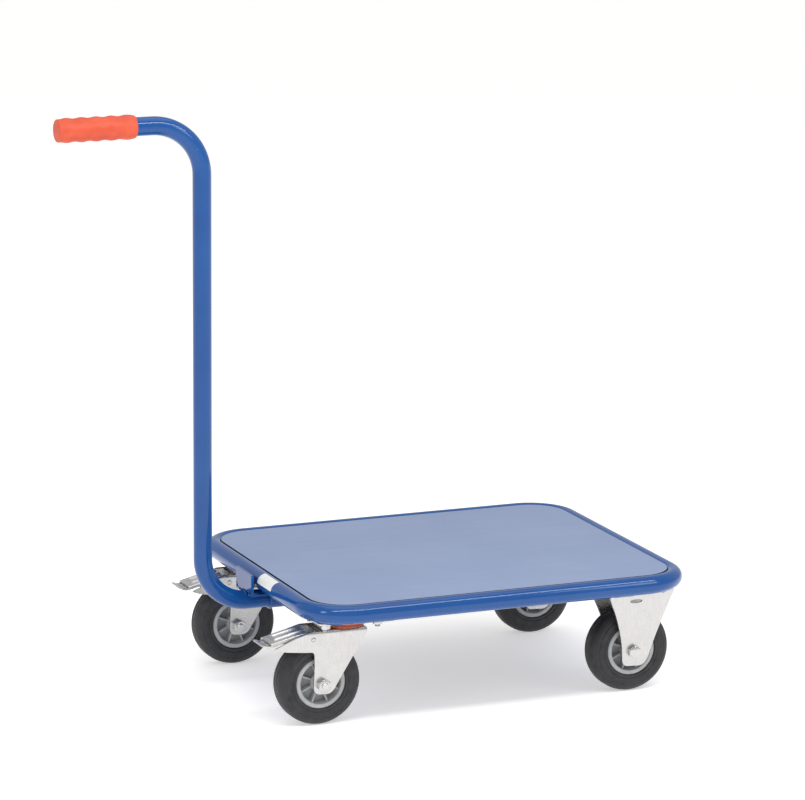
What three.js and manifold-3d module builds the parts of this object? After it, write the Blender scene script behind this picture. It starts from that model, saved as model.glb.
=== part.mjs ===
// A platform dolly with a gooseneck handle: a tubular steel frame round a
// coated board, two braked swivel casters under the handle end, two fixed
// casters at the front, and a plug-in handle tube that runs into a socket
// under the deck. Millimetres, +X towards the fixed casters, +Z up, wheels
// standing on Z = 0.

import * as THREE from 'three';
import { mergeVertices } from 'three/addons/utils/BufferGeometryUtils.js';
import Module from 'manifold-3d';

const wasm = await Module();
wasm.setup();

// Overall sizes
const DECK_LENGTH = 600;
const DECK_WIDTH = 500;
const HANDLE_HEIGHT = 841.4;
const WHEEL_DIAMETER = 125;
const CASTER_HEIGHT = 155;

// Gap kept between pieces that touch
const SEAT_GAP = 0.3;

// Frame loop and board
const FRAME_TUBE_DIAMETER = 26.9;
const FRAME_TUBE_WALL = 2;
const FRAME_CORNER_RADIUS = 76;
const VENT_DIAMETER = 6;
const BOARD_THICKNESS = 12;
const BOARD_RECESS = 1;
const BOARD_EDGE_GAP = 0.6;
const BOARD_EDGE_INSIDE_CREST = 8.8;

// Crossbars that carry the board and the casters
const CROSSBAR_SHEET = 3;
const CROSSBAR_WIDTH = 108;
const CROSSBAR_HAT_WIDTH = 54;
const CROSSBAR_LAP = 6;
const CROSSBAR_END_GAP = 3;
const CROSSBAR_BRIM_INSET = 16;
const SLOT_SIDE_GAP = 2;

// Handle, its socket and its stop plate
const HANDLE_TUBE_DIAMETER = 26.9;
const HANDLE_TUBE_WALL = 2;
const HANDLE_TOP_RADIUS = 74;
const HANDLE_LOW_RADIUS = 67;
const HANDLE_REACH = 215;
const POST_BEHIND_DECK = 73.6;
const LEG_CLEARANCE = 2.85;
const SOCKET_WALL = 1.8;
const SOCKET_RADIAL_GAP = 0.3;
const SOCKET_MOUTH_INSET = 25;
const SOCKET_LENGTH = 126;
const SOCKET_BEAD = 1.2;
const LEG_END_GAP = 6;
const STOP_PLATE_SHEET = 4;
const STOP_PLATE_WIDTH = 62;
const STOP_PLATE_CHAMFER = 9;
const STOP_PLATE_BEHIND_DECK = 7;
const STOP_EAR_THICKNESS = 2;
const STOP_TONGUE_LENGTH = 26;
const STOP_TONGUE_WIDTH = 12;
const STOP_TONGUE_SHEET = 3;
const STOP_EAR_DROP = 4;
const STOP_FOOT_WIDTH = 12;
const STOP_FOOT_GAP = 0.9;
const STOP_PLATE_LIFT = 1.5;
const GRIP_LENGTH = 115.5;
const GRIP_DIAMETER = 35.2;
const GRIP_WAVE_DEPTH = 1.2;
const GRIP_WAVES = 5;
const GRIP_END_WALL = 3.5;

// Places of the casters, from the middle of the frame's corner bends
const SWIVEL_AXIS_INSET = 54.04;
const FIXED_AXLE_INSET = 56.54;
const CASTER_SIDE_INSET = 57.54;
const SWIVEL_TRAIL = 41;
const FIXED_PLATE_LEAD = 6;

// Caster plates and their bolts
const PLATE_LENGTH = 105;
const PLATE_WIDTH = 80;
const PLATE_SHEET = 3;
const PLATE_CORNER_RADIUS = 8;
const BOLT_SPACING_X = 80;
const BOLT_SPACING_Y = 60;
const BOLT_DIAMETER = 8;
const BOLT_HOLE_DIAMETER = 9;
const HEX_ACROSS_FLATS = 13;
const BOLT_HEAD_DIAMETER = 14;
const BOLT_HEAD_HEIGHT = 2;
const HEX_NUT_HEIGHT = 6.5;
const BOLT_END_BELOW_NUT = 3.8;

// Swivel head
const SEAL_DIAMETER = 60;
const SEAL_BORE = 52;
const RACE_DIAMETER = 48;
const KINGPIN_DIAMETER = 12;
const KINGPIN_HEAD_DIAMETER = 22;
const KINGPIN_HEAD_HEIGHT = 5;
const SEAL_HEIGHT = 10;

// Fork and fixed bracket
const CHEEK_SHEET = 3;
const CHEEK_INNER_HALF_GAP = 23;
const FORK_CROWN_LENGTH = 60;
const BRACKET_FLARE = 14;
const BRACKET_FLARE_START = 12;
const BRACKET_FOOT_DEPTH = 21.8;
const EYE_LENGTH = 20;
const EYE_HEIGHT = 6;
const EYE_BEHIND_AXLE = 3;
const EYE_BELOW_PLATE = 13.3;

// Brake
const BRAKE_PIN_DIAMETER = 6;
const BRAKE_PIN_BEHIND_AXLE = 14.5;
const BRAKE_PIN_ABOVE_AXLE = 67.1;
const PEDAL_WIDTH = 42;
const PEDAL_SHEET = 2.5;
const PEDAL_KNEE_X = -46;
const PEDAL_RIB_Y = 9;
const PEDAL_TIP_BEHIND_AXLE = 76.5;
const PEDAL_TIP_BELOW_CROWN = 13.8;
const SHOE_CLEARANCE = 3.5;
const TAB_LENGTH = 29;
const TAB_WIDTH = 38;

// Wheels
const TYRE_WIDTH = 37.5;
const TYRE_SEAT_DIAMETER = 74;
const RIM_WIDTH = 36;
const RIM_LIP_THICKNESS = 6.5;
const RIM_WEB_THICKNESS = 5;
const RIM_RIBS = 8;
const RIB_THICKNESS = 2.4;
const HUB_DIAMETER = 27;
const HUB_WIDTH = 42;
const AXLE_DIAMETER = 10;
const SPACER_DIAMETER = 15;
const RUNNING_GAP = 0.25;
const AXLE_HEAD_ACROSS_FLATS = 17;
const AXLE_HEAD_HEIGHT = 6.4;
const AXLE_NUT_HEIGHT = 8;
const AXLE_END_BEYOND_NUT = 3;

// How finely round forms are faceted
const SIDES_SMALL = 8;
const SIDES_ROUND = 14;
const SIDES_TUBE = 16;
const SIDES_RIM = 20;
const SIDES_WHEEL = 32;
const BEND_STEPS = 6;
const CURVE_STEPS = 3;

// Levels and lengths that follow from the sizes above
const frameTubeRadius = FRAME_TUBE_DIAMETER / 2;
const crossbarBottom = CASTER_HEIGHT + SEAT_GAP;
const frameLevel = crossbarBottom + CROSSBAR_SHEET + SEAT_GAP + frameTubeRadius;
const deckLevel = frameLevel + frameTubeRadius - BOARD_RECESS;
const crossbarTop = deckLevel - BOARD_THICKNESS - SEAT_GAP;
const innerHalfWidth = DECK_WIDTH / 2 - FRAME_TUBE_DIAMETER;
const wheelRadius = WHEEL_DIAMETER / 2;
const bendMiddle = (1 - Math.SQRT1_2) * FRAME_CORNER_RADIUS;
const casterY = DECK_WIDTH / 2 - bendMiddle - CASTER_SIDE_INSET;
const swivelX = -DECK_LENGTH / 2 + bendMiddle + SWIVEL_AXIS_INSET;
const fixedAxleX = DECK_LENGTH / 2 - bendMiddle - FIXED_AXLE_INSET;
const frontCrossbarX = fixedAxleX + FIXED_PLATE_LEAD;
const handleTubeRadius = HANDLE_TUBE_DIAMETER / 2;
const legLevel = frameLevel - frameTubeRadius - LEG_CLEARANCE - handleTubeRadius;
const postX = -DECK_LENGTH / 2 - POST_BEHIND_DECK;
const gripEndX = postX - HANDLE_REACH;
const socketMouthX = -DECK_LENGTH / 2 + SOCKET_MOUTH_INSET;
const legEndX = socketMouthX + SOCKET_LENGTH - LEG_END_GAP;
const socketRadius = handleTubeRadius + SOCKET_RADIAL_GAP + SOCKET_WALL;
const plateBottom = CASTER_HEIGHT - PLATE_SHEET;
const plateAboveAxle = CASTER_HEIGHT - wheelRadius;
const cheekOuter = CHEEK_INNER_HALF_GAP + CHEEK_SHEET;
const crownTop = plateAboveAxle - PLATE_SHEET - SEAL_HEIGHT - 2 * SEAT_GAP;
const crownBottom = crownTop - CHEEK_SHEET;

const paint = new THREE.MeshStandardMaterial({ color: 0x2f64a3, roughness: 0.32, metalness: 0.1 });
const coatedBoard = new THREE.MeshStandardMaterial({ color: 0x9aa7c7, roughness: 0.5 });
const zinc = new THREE.MeshStandardMaterial({ color: 0xd9d5d2, roughness: 0.3, metalness: 0.9 });
const orangePlastic = new THREE.MeshStandardMaterial({ color: 0xe8663f, roughness: 0.5 });
const sealPlastic = new THREE.MeshStandardMaterial({ color: 0xb9502e, roughness: 0.5 });
const rubber = new THREE.MeshStandardMaterial({ color: 0x232327, roughness: 0.75 });
const greyPlastic = new THREE.MeshStandardMaterial({ color: 0x9a9c9e, roughness: 0.55 });

// Booleans -----------------------------------------------------------------

function toSolid(geometry) {
  const bare = geometry.clone();
  bare.deleteAttribute('normal');
  bare.deleteAttribute('uv');
  const merged = mergeVertices(bare, 1e-4);
  const mesh = new wasm.Mesh({
    numProp: 3,
    vertProperties: new Float32Array(merged.attributes.position.array),
    triVerts: new Uint32Array(merged.index.array),
  });
  mesh.merge();
  return new wasm.Manifold(mesh);
}

function toGeometry(solid) {
  const mesh = solid.getMesh();
  const geometry = new THREE.BufferGeometry();
  geometry.setAttribute('position', new THREE.BufferAttribute(mesh.vertProperties, 3));
  geometry.setIndex(new THREE.BufferAttribute(mesh.triVerts, 1));
  geometry.computeVertexNormals();
  return geometry;
}

function join(...geometries) {
  const solids = geometries.map(toSolid);
  return toGeometry(solids.reduce((sum, solid) => sum.add(solid)));
}

function cut(geometry, ...tools) {
  const solids = tools.map(toSolid);
  return toGeometry(solids.reduce((rest, tool) => rest.subtract(tool), toSolid(geometry)));
}

function common(a, b) {
  return toGeometry(toSolid(a).intersect(toSolid(b)));
}

// Basic forms ---------------------------------------------------------------

// A box from its lowest and highest corner
function boxBetween(low, high) {
  const size = high.map((value, i) => value - low[i]);
  const middle = high.map((value, i) => (value + low[i]) / 2);
  return new THREE.BoxGeometry(...size).translate(...middle);
}

// A round or, with six sides, hexagonal bar from one level to another along Z
function barZ(radius, low, high, sides = SIDES_ROUND) {
  const bar = new THREE.CylinderGeometry(radius, radius, high - low, sides);
  return bar.rotateX(Math.PI / 2).translate(0, 0, (low + high) / 2);
}

function barY(radius, low, high, sides = SIDES_ROUND) {
  const bar = new THREE.CylinderGeometry(radius, radius, high - low, sides);
  return bar.translate(0, (low + high) / 2, 0);
}

const hexRadius = (acrossFlats) => acrossFlats / Math.sqrt(3);

// A ring turned about Z, given by its two radii and two levels
function ringZ(inner, outer, low, high, sides = SIDES_RIM) {
  return turned([[inner, low], [outer, low], [outer, high], [inner, high]], sides).rotateX(Math.PI / 2);
}

// A closed profile of [radius, height] turned about Y; the height runs along Y.
// It runs anticlockwise, so that the faces point outwards
function turned(profile, sides) {
  const points = profile.map(([r, h]) => new THREE.Vector2(r, h));
  if (THREE.ShapeUtils.area(points) < 0) points.reverse();
  return new THREE.LatheGeometry([...points, points[0]], sides);
}

// A profile that starts and ends on the axis
function turnedFromAxis(profile, sides) {
  return new THREE.LatheGeometry(profile.map(([r, h]) => new THREE.Vector2(r, h)), sides);
}

// An outline of [x, z] points, extruded along Y between two levels
function plateAlongY(outline, low, high) {
  const shape = outline instanceof THREE.Shape ? outline : polygon(outline);
  return extruded(shape, high - low).rotateX(Math.PI / 2).translate(0, high, 0);
}

function extruded(shape, depth, curveSegments = CURVE_STEPS) {
  return new THREE.ExtrudeGeometry(shape, { depth, bevelEnabled: false, curveSegments });
}

function polygon(points) {
  return new THREE.Shape(points.map(([x, y]) => new THREE.Vector2(x, y)));
}

function roundedRectangle(length, width, radius) {
  const x = length / 2;
  const y = width / 2;
  const shape = new THREE.Shape();
  shape.moveTo(-x + radius, -y);
  shape.lineTo(x - radius, -y);
  shape.absarc(x - radius, -y + radius, radius, -Math.PI / 2, 0, false);
  shape.lineTo(x, y - radius);
  shape.absarc(x - radius, y - radius, radius, 0, Math.PI / 2, false);
  shape.lineTo(-x + radius, y);
  shape.absarc(-x + radius, y - radius, radius, Math.PI / 2, Math.PI, false);
  shape.lineTo(-x, -y + radius);
  shape.absarc(-x + radius, -y + radius, radius, Math.PI, 1.5 * Math.PI, false);
  return shape;
}

// A path whose stations are spread over its bends, with one step per straight
class StationPath extends THREE.Curve {
  getPointAt(u, target) {
    return this.getPoint(u, target);
  }
  getTangentAt(u, target) {
    return this.getTangent(u, target);
  }
}

// The frame's centreline: four straights and four quarter bends
class FrameLoop extends StationPath {
  constructor() {
    super();
    this.bend = FRAME_CORNER_RADIUS - frameTubeRadius;
    this.x = DECK_LENGTH / 2 - FRAME_CORNER_RADIUS;
    this.y = DECK_WIDTH / 2 - FRAME_CORNER_RADIUS;
    this.stations = 4 * (BEND_STEPS + 1);
  }
  onBend(corner, part) {
    const angle = (corner + part) * Math.PI / 2;
    const signX = corner === 0 || corner === 3 ? 1 : -1;
    const signY = corner < 2 ? 1 : -1;
    return new THREE.Vector3(
      signX * this.x + this.bend * Math.cos(angle),
      signY * this.y + this.bend * Math.sin(angle),
      frameLevel,
    );
  }
  locate(t) {
    const place = (t - Math.floor(t)) * this.stations;
    const corner = Math.min(3, Math.floor(place / (BEND_STEPS + 1)));
    const along = place - corner * (BEND_STEPS + 1);
    return { corner, along };
  }
  getPoint(t, target = new THREE.Vector3()) {
    const { corner, along } = this.locate(t);
    if (along <= BEND_STEPS) return target.copy(this.onBend(corner, along / BEND_STEPS));
    const start = this.onBend(corner, 1);
    return target.copy(start).lerp(this.onBend((corner + 1) % 4, 0), along - BEND_STEPS);
  }
  getTangent(t, target = new THREE.Vector3()) {
    const { corner, along } = this.locate(t);
    const angle = (corner + Math.min(1, along / BEND_STEPS)) * Math.PI / 2;
    return target.set(-Math.sin(angle), Math.cos(angle), 0);
  }
}

// The handle's centreline, from inside the grip to the end of the lower leg
class HandlePath extends StationPath {
  constructor() {
    super();
    const high = HANDLE_TOP_RADIUS;
    const low = HANDLE_LOW_RADIUS;
    this.start = new THREE.Vector3(gripEndX + GRIP_END_WALL + SEAT_GAP, 0, HANDLE_HEIGHT);
    this.topCentre = new THREE.Vector3(postX - high, 0, HANDLE_HEIGHT - high);
    this.lowCentre = new THREE.Vector3(postX + low, 0, legLevel + low);
    this.end = new THREE.Vector3(legEndX, 0, legLevel);
    this.steps = 2 * BEND_STEPS + 3;
  }
  onTop(part) {
    const angle = part * Math.PI / 2;
    const offset = new THREE.Vector3(Math.sin(angle), 0, Math.cos(angle));
    return offset.multiplyScalar(HANDLE_TOP_RADIUS).add(this.topCentre);
  }
  onLow(part) {
    const angle = part * Math.PI / 2;
    const offset = new THREE.Vector3(-Math.cos(angle), 0, -Math.sin(angle));
    return offset.multiplyScalar(HANDLE_LOW_RADIUS).add(this.lowCentre);
  }
  getPoint(t, target = new THREE.Vector3()) {
    const place = t * this.steps;
    if (place <= 1) return target.copy(this.start).lerp(this.onTop(0), place);
    if (place <= BEND_STEPS + 1) return target.copy(this.onTop((place - 1) / BEND_STEPS));
    if (place <= BEND_STEPS + 2) {
      return target.copy(this.onTop(1)).lerp(this.onLow(0), place - BEND_STEPS - 1);
    }
    const rest = place - BEND_STEPS - 2;
    if (rest <= BEND_STEPS) return target.copy(this.onLow(rest / BEND_STEPS));
    return target.copy(this.onLow(1)).lerp(this.end, rest - BEND_STEPS);
  }
  getTangent(t, target = new THREE.Vector3()) {
    const place = t * this.steps;
    const top = THREE.MathUtils.clamp((place - 1) / BEND_STEPS, 0, 1);
    const low = THREE.MathUtils.clamp((place - BEND_STEPS - 2) / BEND_STEPS, 0, 1);
    const angle = (top - low) * Math.PI / 2;
    return target.set(Math.cos(angle), 0, -Math.sin(angle));
  }
}

// Frame and deck --------------------------------------------------------------

// One tube bent to a loop; a small vent under the rear run lets the paint drain
function frameTubeGeometry() {
  const loop = new FrameLoop();
  const outside = new THREE.TubeGeometry(loop, loop.stations, frameTubeRadius, SIDES_TUBE, true);
  const boreRadius = frameTubeRadius - FRAME_TUBE_WALL;
  const inside = new THREE.TubeGeometry(loop, loop.stations, boreRadius, SIDES_TUBE, true);
  const vent = barZ(VENT_DIAMETER / 2, frameLevel - 2 * frameTubeRadius, frameLevel, SIDES_SMALL);
  vent.translate(DECK_LENGTH / 2 - frameTubeRadius, 0, 0);
  return cut(outside, inside, vent);
}

// The board's edge is hollowed to bed on the inner shoulder of the frame tube
function deckBoardGeometry() {
  const inset = frameTubeRadius + BOARD_EDGE_INSIDE_CREST;
  const outline = roundedRectangle(
    DECK_LENGTH - 2 * inset, DECK_WIDTH - 2 * inset, FRAME_CORNER_RADIUS - inset,
  );
  const slab = extruded(outline, BOARD_THICKNESS, BEND_STEPS);
  slab.translate(0, 0, deckLevel - BOARD_THICKNESS);
  const loop = new FrameLoop();
  const bed = frameTubeRadius + BOARD_EDGE_GAP;
  return cut(slab, new THREE.TubeGeometry(loop, loop.stations, bed, SIDES_TUBE, true));
}

// How far the crossbars' hats reach to the side before they meet the frame's
// bends, taken at the crossbar that is nearer to its end of the deck
function hatHalfLength() {
  const farthest = Math.max(-swivelX, frontCrossbarX) + CROSSBAR_HAT_WIDTH / 2;
  const intoBend = Math.max(0, farthest - DECK_LENGTH / 2 + FRAME_CORNER_RADIUS);
  const innerBend = FRAME_CORNER_RADIUS - FRAME_TUBE_DIAMETER;
  const bendY = DECK_WIDTH / 2 - FRAME_CORNER_RADIUS;
  return bendY + Math.sqrt(innerBend ** 2 - intoBend ** 2) - CROSSBAR_END_GAP;
}

// A hat section of folded sheet across the frame, centred on X = 0. Its brims
// lie under the side tubes and over the caster plates, its crown carries the
// board, and a slot lets the handle's socket through where there is one. Its
// brims' corners follow the frame's bends; atX is the bar's place on the deck
function crossbarGeometry(slotted, atX) {
  const brim = CROSSBAR_WIDTH / 2;
  const hat = CROSSBAR_HAT_WIDTH / 2;
  const hatInside = hat - CROSSBAR_SHEET;
  const brimTop = crossbarBottom + CROSSBAR_SHEET;
  const crown = crossbarTop - CROSSBAR_SHEET;
  const section = [
    [-brim, crossbarBottom], [-hatInside, crossbarBottom], [-hatInside, crown], [hatInside, crown],
    [hatInside, crossbarBottom], [brim, crossbarBottom], [brim, brimTop], [hat, brimTop],
    [hat, crossbarTop], [-hat, crossbarTop], [-hat, brimTop], [-brim, brimTop],
  ];
  const brimEnd = innerHalfWidth + CROSSBAR_LAP;
  const hatEnd = hatHalfLength();
  const tools = [-casterY, casterY].flatMap((y) => {
    return boltHoles(crossbarBottom - 1, brimTop + 1).map((hole) => hole.translate(0, y, 0));
  });
  tools.push(boxBetween([-hat - 1, hatEnd, brimTop], [hat + 1, brimEnd + 1, crossbarTop + 1]));
  tools.push(boxBetween([-hat - 1, -brimEnd - 1, brimTop], [hat + 1, -hatEnd, crossbarTop + 1]));
  if (slotted) {
    const slotTop = legLevel + socketRadius + SOCKET_BEAD + SEAT_GAP;
    const slotHalf = socketRadius + SLOT_SIDE_GAP;
    tools.push(boxBetween([-brim - 1, -slotHalf, crossbarBottom - 1], [brim + 1, slotHalf, slotTop]));
  }
  const inset = 2 * CROSSBAR_BRIM_INSET;
  const within = roundedRectangle(
    DECK_LENGTH - inset, DECK_WIDTH - inset, FRAME_CORNER_RADIUS - CROSSBAR_BRIM_INSET,
  );
  const limits = extruded(within, deckLevel, BEND_STEPS).translate(-atX, 0, 0);
  return cut(common(plateAlongY(section, -brimEnd, brimEnd), limits), ...tools);
}

function boltPlaces() {
  const x = BOLT_SPACING_X / 2;
  const y = BOLT_SPACING_Y / 2;
  return [[-x, -y], [x, -y], [x, y], [-x, y]];
}

// Handle ----------------------------------------------------------------------

function handleTubeGeometry() {
  const path = new HandlePath();
  const ring = new THREE.Shape();
  ring.absarc(0, 0, handleTubeRadius, 0, 2 * Math.PI, false);
  const bore = new THREE.Path();
  bore.absarc(0, 0, handleTubeRadius - HANDLE_TUBE_WALL, 0, 2 * Math.PI, true);
  ring.holes.push(bore);
  return new THREE.ExtrudeGeometry(ring, {
    steps: path.steps, extrudePath: path, curveSegments: SIDES_TUBE / 2,
  });
}

// The grip is closed at its outer end and waves gently along its length
function gripGeometry() {
  const boreRadius = handleTubeRadius + SEAT_GAP;
  const round = GRIP_DIAMETER / 2;
  const endRound = 3;
  const profile = [[0, 0], [round - endRound - 1, 0], [round - 1, endRound]];
  const waveSteps = 2 * GRIP_WAVES;
  const waveStart = 2 * endRound;
  for (let i = 0; i <= waveSteps; i++) {
    const along = i / waveSteps;
    const dip = GRIP_WAVE_DEPTH * (0.5 - 0.5 * Math.cos(2 * Math.PI * GRIP_WAVES * along));
    profile.push([round - dip, waveStart + along * (GRIP_LENGTH - waveStart - endRound)]);
  }
  profile.push([round - 1.5, GRIP_LENGTH], [boreRadius, GRIP_LENGTH]);
  profile.push([boreRadius, GRIP_END_WALL], [0, GRIP_END_WALL]);
  return turnedFromAxis(profile, SIDES_RIM).rotateZ(-Math.PI / 2);
}

// A short tube under the deck; its mouth is beaded
function socketGeometry() {
  const bore = handleTubeRadius + SOCKET_RADIAL_GAP;
  const bead = 5;
  const socket = turned([
    [bore, 0], [socketRadius, 0], [socketRadius + SOCKET_BEAD, bead / 2], [socketRadius, bead],
    [socketRadius, SOCKET_LENGTH], [bore, SOCKET_LENGTH],
  ], SIDES_RIM);
  return socket.rotateZ(-Math.PI / 2);
}

// A plate across the leg, close behind the frame tube, its lower corners
// chamfered, with a foot on the leg and an ear on each side that runs down to a
// tongue under the frame tube
function stopPlateGeometry() {
  const half = STOP_PLATE_WIDTH / 2;
  const legTop = legLevel + handleTubeRadius;
  const low = legTop + STOP_PLATE_LIFT;
  const high = frameLevel + frameTubeRadius;
  const outline = polygon([
    [-half + STOP_PLATE_CHAMFER, low], [half - STOP_PLATE_CHAMFER, low], [half, low + STOP_PLATE_CHAMFER],
    [half, high], [-half, high], [-half, low + STOP_PLATE_CHAMFER],
  ]);
  const plate = extruded(outline, STOP_PLATE_SHEET).rotateX(Math.PI / 2).rotateZ(Math.PI / 2);
  const earLow = low - STOP_EAR_DROP;
  const sides = [-1, 1].flatMap((side) => {
    const edges = (width) => [side * (half - width), side * half].sort((a, b) => a - b);
    const ear = edges(STOP_EAR_THICKNESS);
    const tongue = edges(STOP_TONGUE_WIDTH);
    return [
      boxBetween([0, ear[0], earLow], [STOP_PLATE_SHEET, ear[1], high]),
      boxBetween(
        [0, tongue[0], earLow], [STOP_TONGUE_LENGTH, tongue[1], earLow + STOP_TONGUE_SHEET],
      ),
    ];
  });
  const foot = boxBetween(
    [0, -STOP_FOOT_WIDTH / 2, legTop + STOP_FOOT_GAP], [STOP_PLATE_SHEET, STOP_FOOT_WIDTH / 2, low + 1],
  );
  return join(plate, foot, ...sides);
}

// Caster pieces -----------------------------------------------------------------

// A flat-headed stud from above through crossbar and plate, its nut run up below
function plateBoltGeometry() {
  const headBottom = crossbarBottom + CROSSBAR_SHEET + SEAT_GAP;
  const nutTop = plateBottom - SEAT_GAP;
  const nutBottom = nutTop - HEX_NUT_HEIGHT;
  return join(
    barZ(BOLT_DIAMETER / 2, nutBottom - BOLT_END_BELOW_NUT, headBottom + 1, SIDES_SMALL),
    barZ(BOLT_HEAD_DIAMETER / 2, headBottom, headBottom + BOLT_HEAD_HEIGHT),
    barZ(hexRadius(HEX_ACROSS_FLATS), nutBottom, nutTop, 6),
  );
}

function boltHoles(low, high) {
  return boltPlaces().map(([x, y]) => {
    return barZ(BOLT_HOLE_DIAMETER / 2, low, high, SIDES_SMALL).translate(x, y, 0);
  });
}

function plateBlankGeometry() {
  const outline = roundedRectangle(PLATE_LENGTH, PLATE_WIDTH, PLATE_CORNER_RADIUS);
  return extruded(outline, PLATE_SHEET).translate(0, 0, plateBottom);
}

function swivelPlateGeometry() {
  const low = plateBottom - 1;
  const high = CASTER_HEIGHT + 1;
  const bore = barZ(KINGPIN_DIAMETER / 2 + SEAT_GAP, low, high);
  return cut(plateBlankGeometry(), bore, ...boltHoles(low, high));
}

// The rivet that holds the fork under its plate, headed below the crown
function kingpinGeometry() {
  const headTop = wheelRadius + crownBottom - SEAT_GAP;
  const top = CASTER_HEIGHT - SEAT_GAP;
  const headRadius = KINGPIN_HEAD_DIAMETER / 2;
  const profile = [
    [0, headTop - KINGPIN_HEAD_HEIGHT], [0.7 * headRadius, headTop - KINGPIN_HEAD_HEIGHT],
    [headRadius, headTop - 0.4 * KINGPIN_HEAD_HEIGHT], [headRadius, headTop],
    [KINGPIN_DIAMETER / 2, headTop], [KINGPIN_DIAMETER / 2, top], [0, top],
  ];
  return turnedFromAxis(profile, SIDES_ROUND).rotateX(Math.PI / 2);
}

// A pressed fork about the wheel's axle: two cheeks with a horn towards the
// brake, joined by a crown above the wheel
function forkGeometry() {
  const front = SWIVEL_TRAIL + 22;
  const side = new THREE.Shape();
  side.moveTo(-24, crownTop - 30);
  side.quadraticCurveTo(-13.5, crownTop - 31, -13.5, crownTop - 38);
  side.lineTo(-12.6, 30);
  side.lineTo(-13.5, -4);
  side.quadraticCurveTo(-12.5, -13.5, -1, -14.4);
  side.lineTo(4, -14.4);
  side.quadraticCurveTo(11.5, -14, 15, -8.5);
  side.lineTo(front + 2, crownTop - 9.9);
  side.quadraticCurveTo(front + 6.5, crownTop, front, crownTop);
  side.lineTo(SWIVEL_TRAIL - 47, crownTop);
  side.quadraticCurveTo(SWIVEL_TRAIL - 55, crownTop - 0.4, -20, crownTop - 2);
  side.lineTo(-42, crownTop - 8.5);
  side.lineTo(-69, crownTop - 19.4);
  side.quadraticCurveTo(-72.5, crownTop - 21.3, -69, crownTop - 22.6);
  side.lineTo(-58, crownTop - 25.9);
  const cheeks = [
    plateAlongY(side, -cheekOuter, -CHEEK_INNER_HALF_GAP),
    plateAlongY(side, CHEEK_INNER_HALF_GAP, cheekOuter),
  ];
  const crownStart = front - FORK_CROWN_LENGTH;
  const crownHalf = cheekOuter - 1;
  const crown = boxBetween([crownStart, -crownHalf, crownBottom], [front, crownHalf, crownTop]);
  const pinBore = barZ(KINGPIN_DIAMETER / 2 + SEAT_GAP, crownBottom - 1, crownTop + 1);
  pinBore.translate(SWIVEL_TRAIL, 0, 0);
  const axleBore = barY(AXLE_DIAMETER / 2 + SEAT_GAP, -2 * cheekOuter, 2 * cheekOuter);
  const brakeBore = barY(BRAKE_PIN_DIAMETER / 2 + SEAT_GAP, -2 * cheekOuter, 2 * cheekOuter, SIDES_SMALL);
  brakeBore.translate(-BRAKE_PIN_BEHIND_AXLE, 0, BRAKE_PIN_ABOVE_AXLE);
  return cut(join(...cheeks, crown), pinBore, axleBore, brakeBore);
}

// A pressed bracket about the wheel's axle: two legs that taper to the axle and
// flare out to the plate they hang from
function fixedBracketGeometry() {
  const inner = CHEEK_INNER_HALF_GAP;
  const top = plateAboveAxle - SEAT_GAP / 2;
  const bend = BRACKET_FLARE_START;
  const foot = -BRACKET_FOOT_DEPTH - 1;
  const flared = inner + BRACKET_FLARE;
  const flaredOuter = flared + CHEEK_SHEET;
  const section = polygon([
    [-cheekOuter, foot], [-inner, foot], [-inner, bend], [-flared, top - CHEEK_SHEET],
    [flared, top - CHEEK_SHEET], [inner, bend], [inner, foot], [cheekOuter, foot], [cheekOuter, bend],
    [flaredOuter, top - 2], [flaredOuter, top], [-flaredOuter, top], [-flaredOuter, top - 2],
    [-cheekOuter, bend],
  ]);
  const reach = PLATE_LENGTH;
  const bent = extruded(section, 2 * reach).rotateX(Math.PI / 2).rotateZ(Math.PI / 2);
  bent.translate(-reach, 0, 0);
  const lead = FIXED_PLATE_LEAD;
  const plateEnd = PLATE_LENGTH / 2 - 2;
  const side = new THREE.Shape();
  side.moveTo(-16.5, -9);
  side.quadraticCurveTo(-15.5, 1 - BRACKET_FOOT_DEPTH, -8, 1 - BRACKET_FOOT_DEPTH);
  side.lineTo(13, -BRACKET_FOOT_DEPTH);
  side.quadraticCurveTo(19.5, -BRACKET_FOOT_DEPTH, 22, -13);
  side.lineTo(lead + 35.5, 46);
  side.lineTo(lead + 47, top - 11);
  side.quadraticCurveTo(lead + 49, top - 3, lead + plateEnd, top - 3);
  side.lineTo(lead + plateEnd, top + 1);
  side.lineTo(lead - plateEnd, top + 1);
  side.lineTo(lead - plateEnd, top - 10);
  side.lineTo(-30, 51);
  side.lineTo(-19, 14.5);
  const pressed = common(bent, plateAlongY(side, -PLATE_WIDTH, PLATE_WIDTH));
  const plate = plateBlankGeometry().translate(lead, 0, -wheelRadius);
  const holes = boltHoles(top - 2 * CHEEK_SHEET, top + 1).map((hole) => hole.translate(lead, 0, 0));
  const eye = barY(1, -PLATE_WIDTH, PLATE_WIDTH).scale(EYE_LENGTH / 2, 1, EYE_HEIGHT / 2);
  eye.translate(-EYE_BEHIND_AXLE, 0, top - EYE_BELOW_PLATE);
  const axleBore = barY(AXLE_DIAMETER / 2 + SEAT_GAP, -2 * cheekOuter, 2 * cheekOuter);
  return cut(join(pressed, plate), ...holes, eye, axleBore);
}

// The axle is a hexagon-headed bolt; headSide is the side of its head along Y
function axleBoltGeometry(headSide) {
  const seat = cheekOuter + SEAT_GAP;
  const end = seat + AXLE_NUT_HEIGHT + AXLE_END_BEYOND_NUT;
  const shank = barY(AXLE_DIAMETER / 2, -end, seat + 1);
  const head = barY(hexRadius(AXLE_HEAD_ACROSS_FLATS), seat, seat + AXLE_HEAD_HEIGHT, 6);
  const bolt = join(shank, head);
  return headSide > 0 ? bolt : bolt.rotateZ(Math.PI);
}

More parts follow.
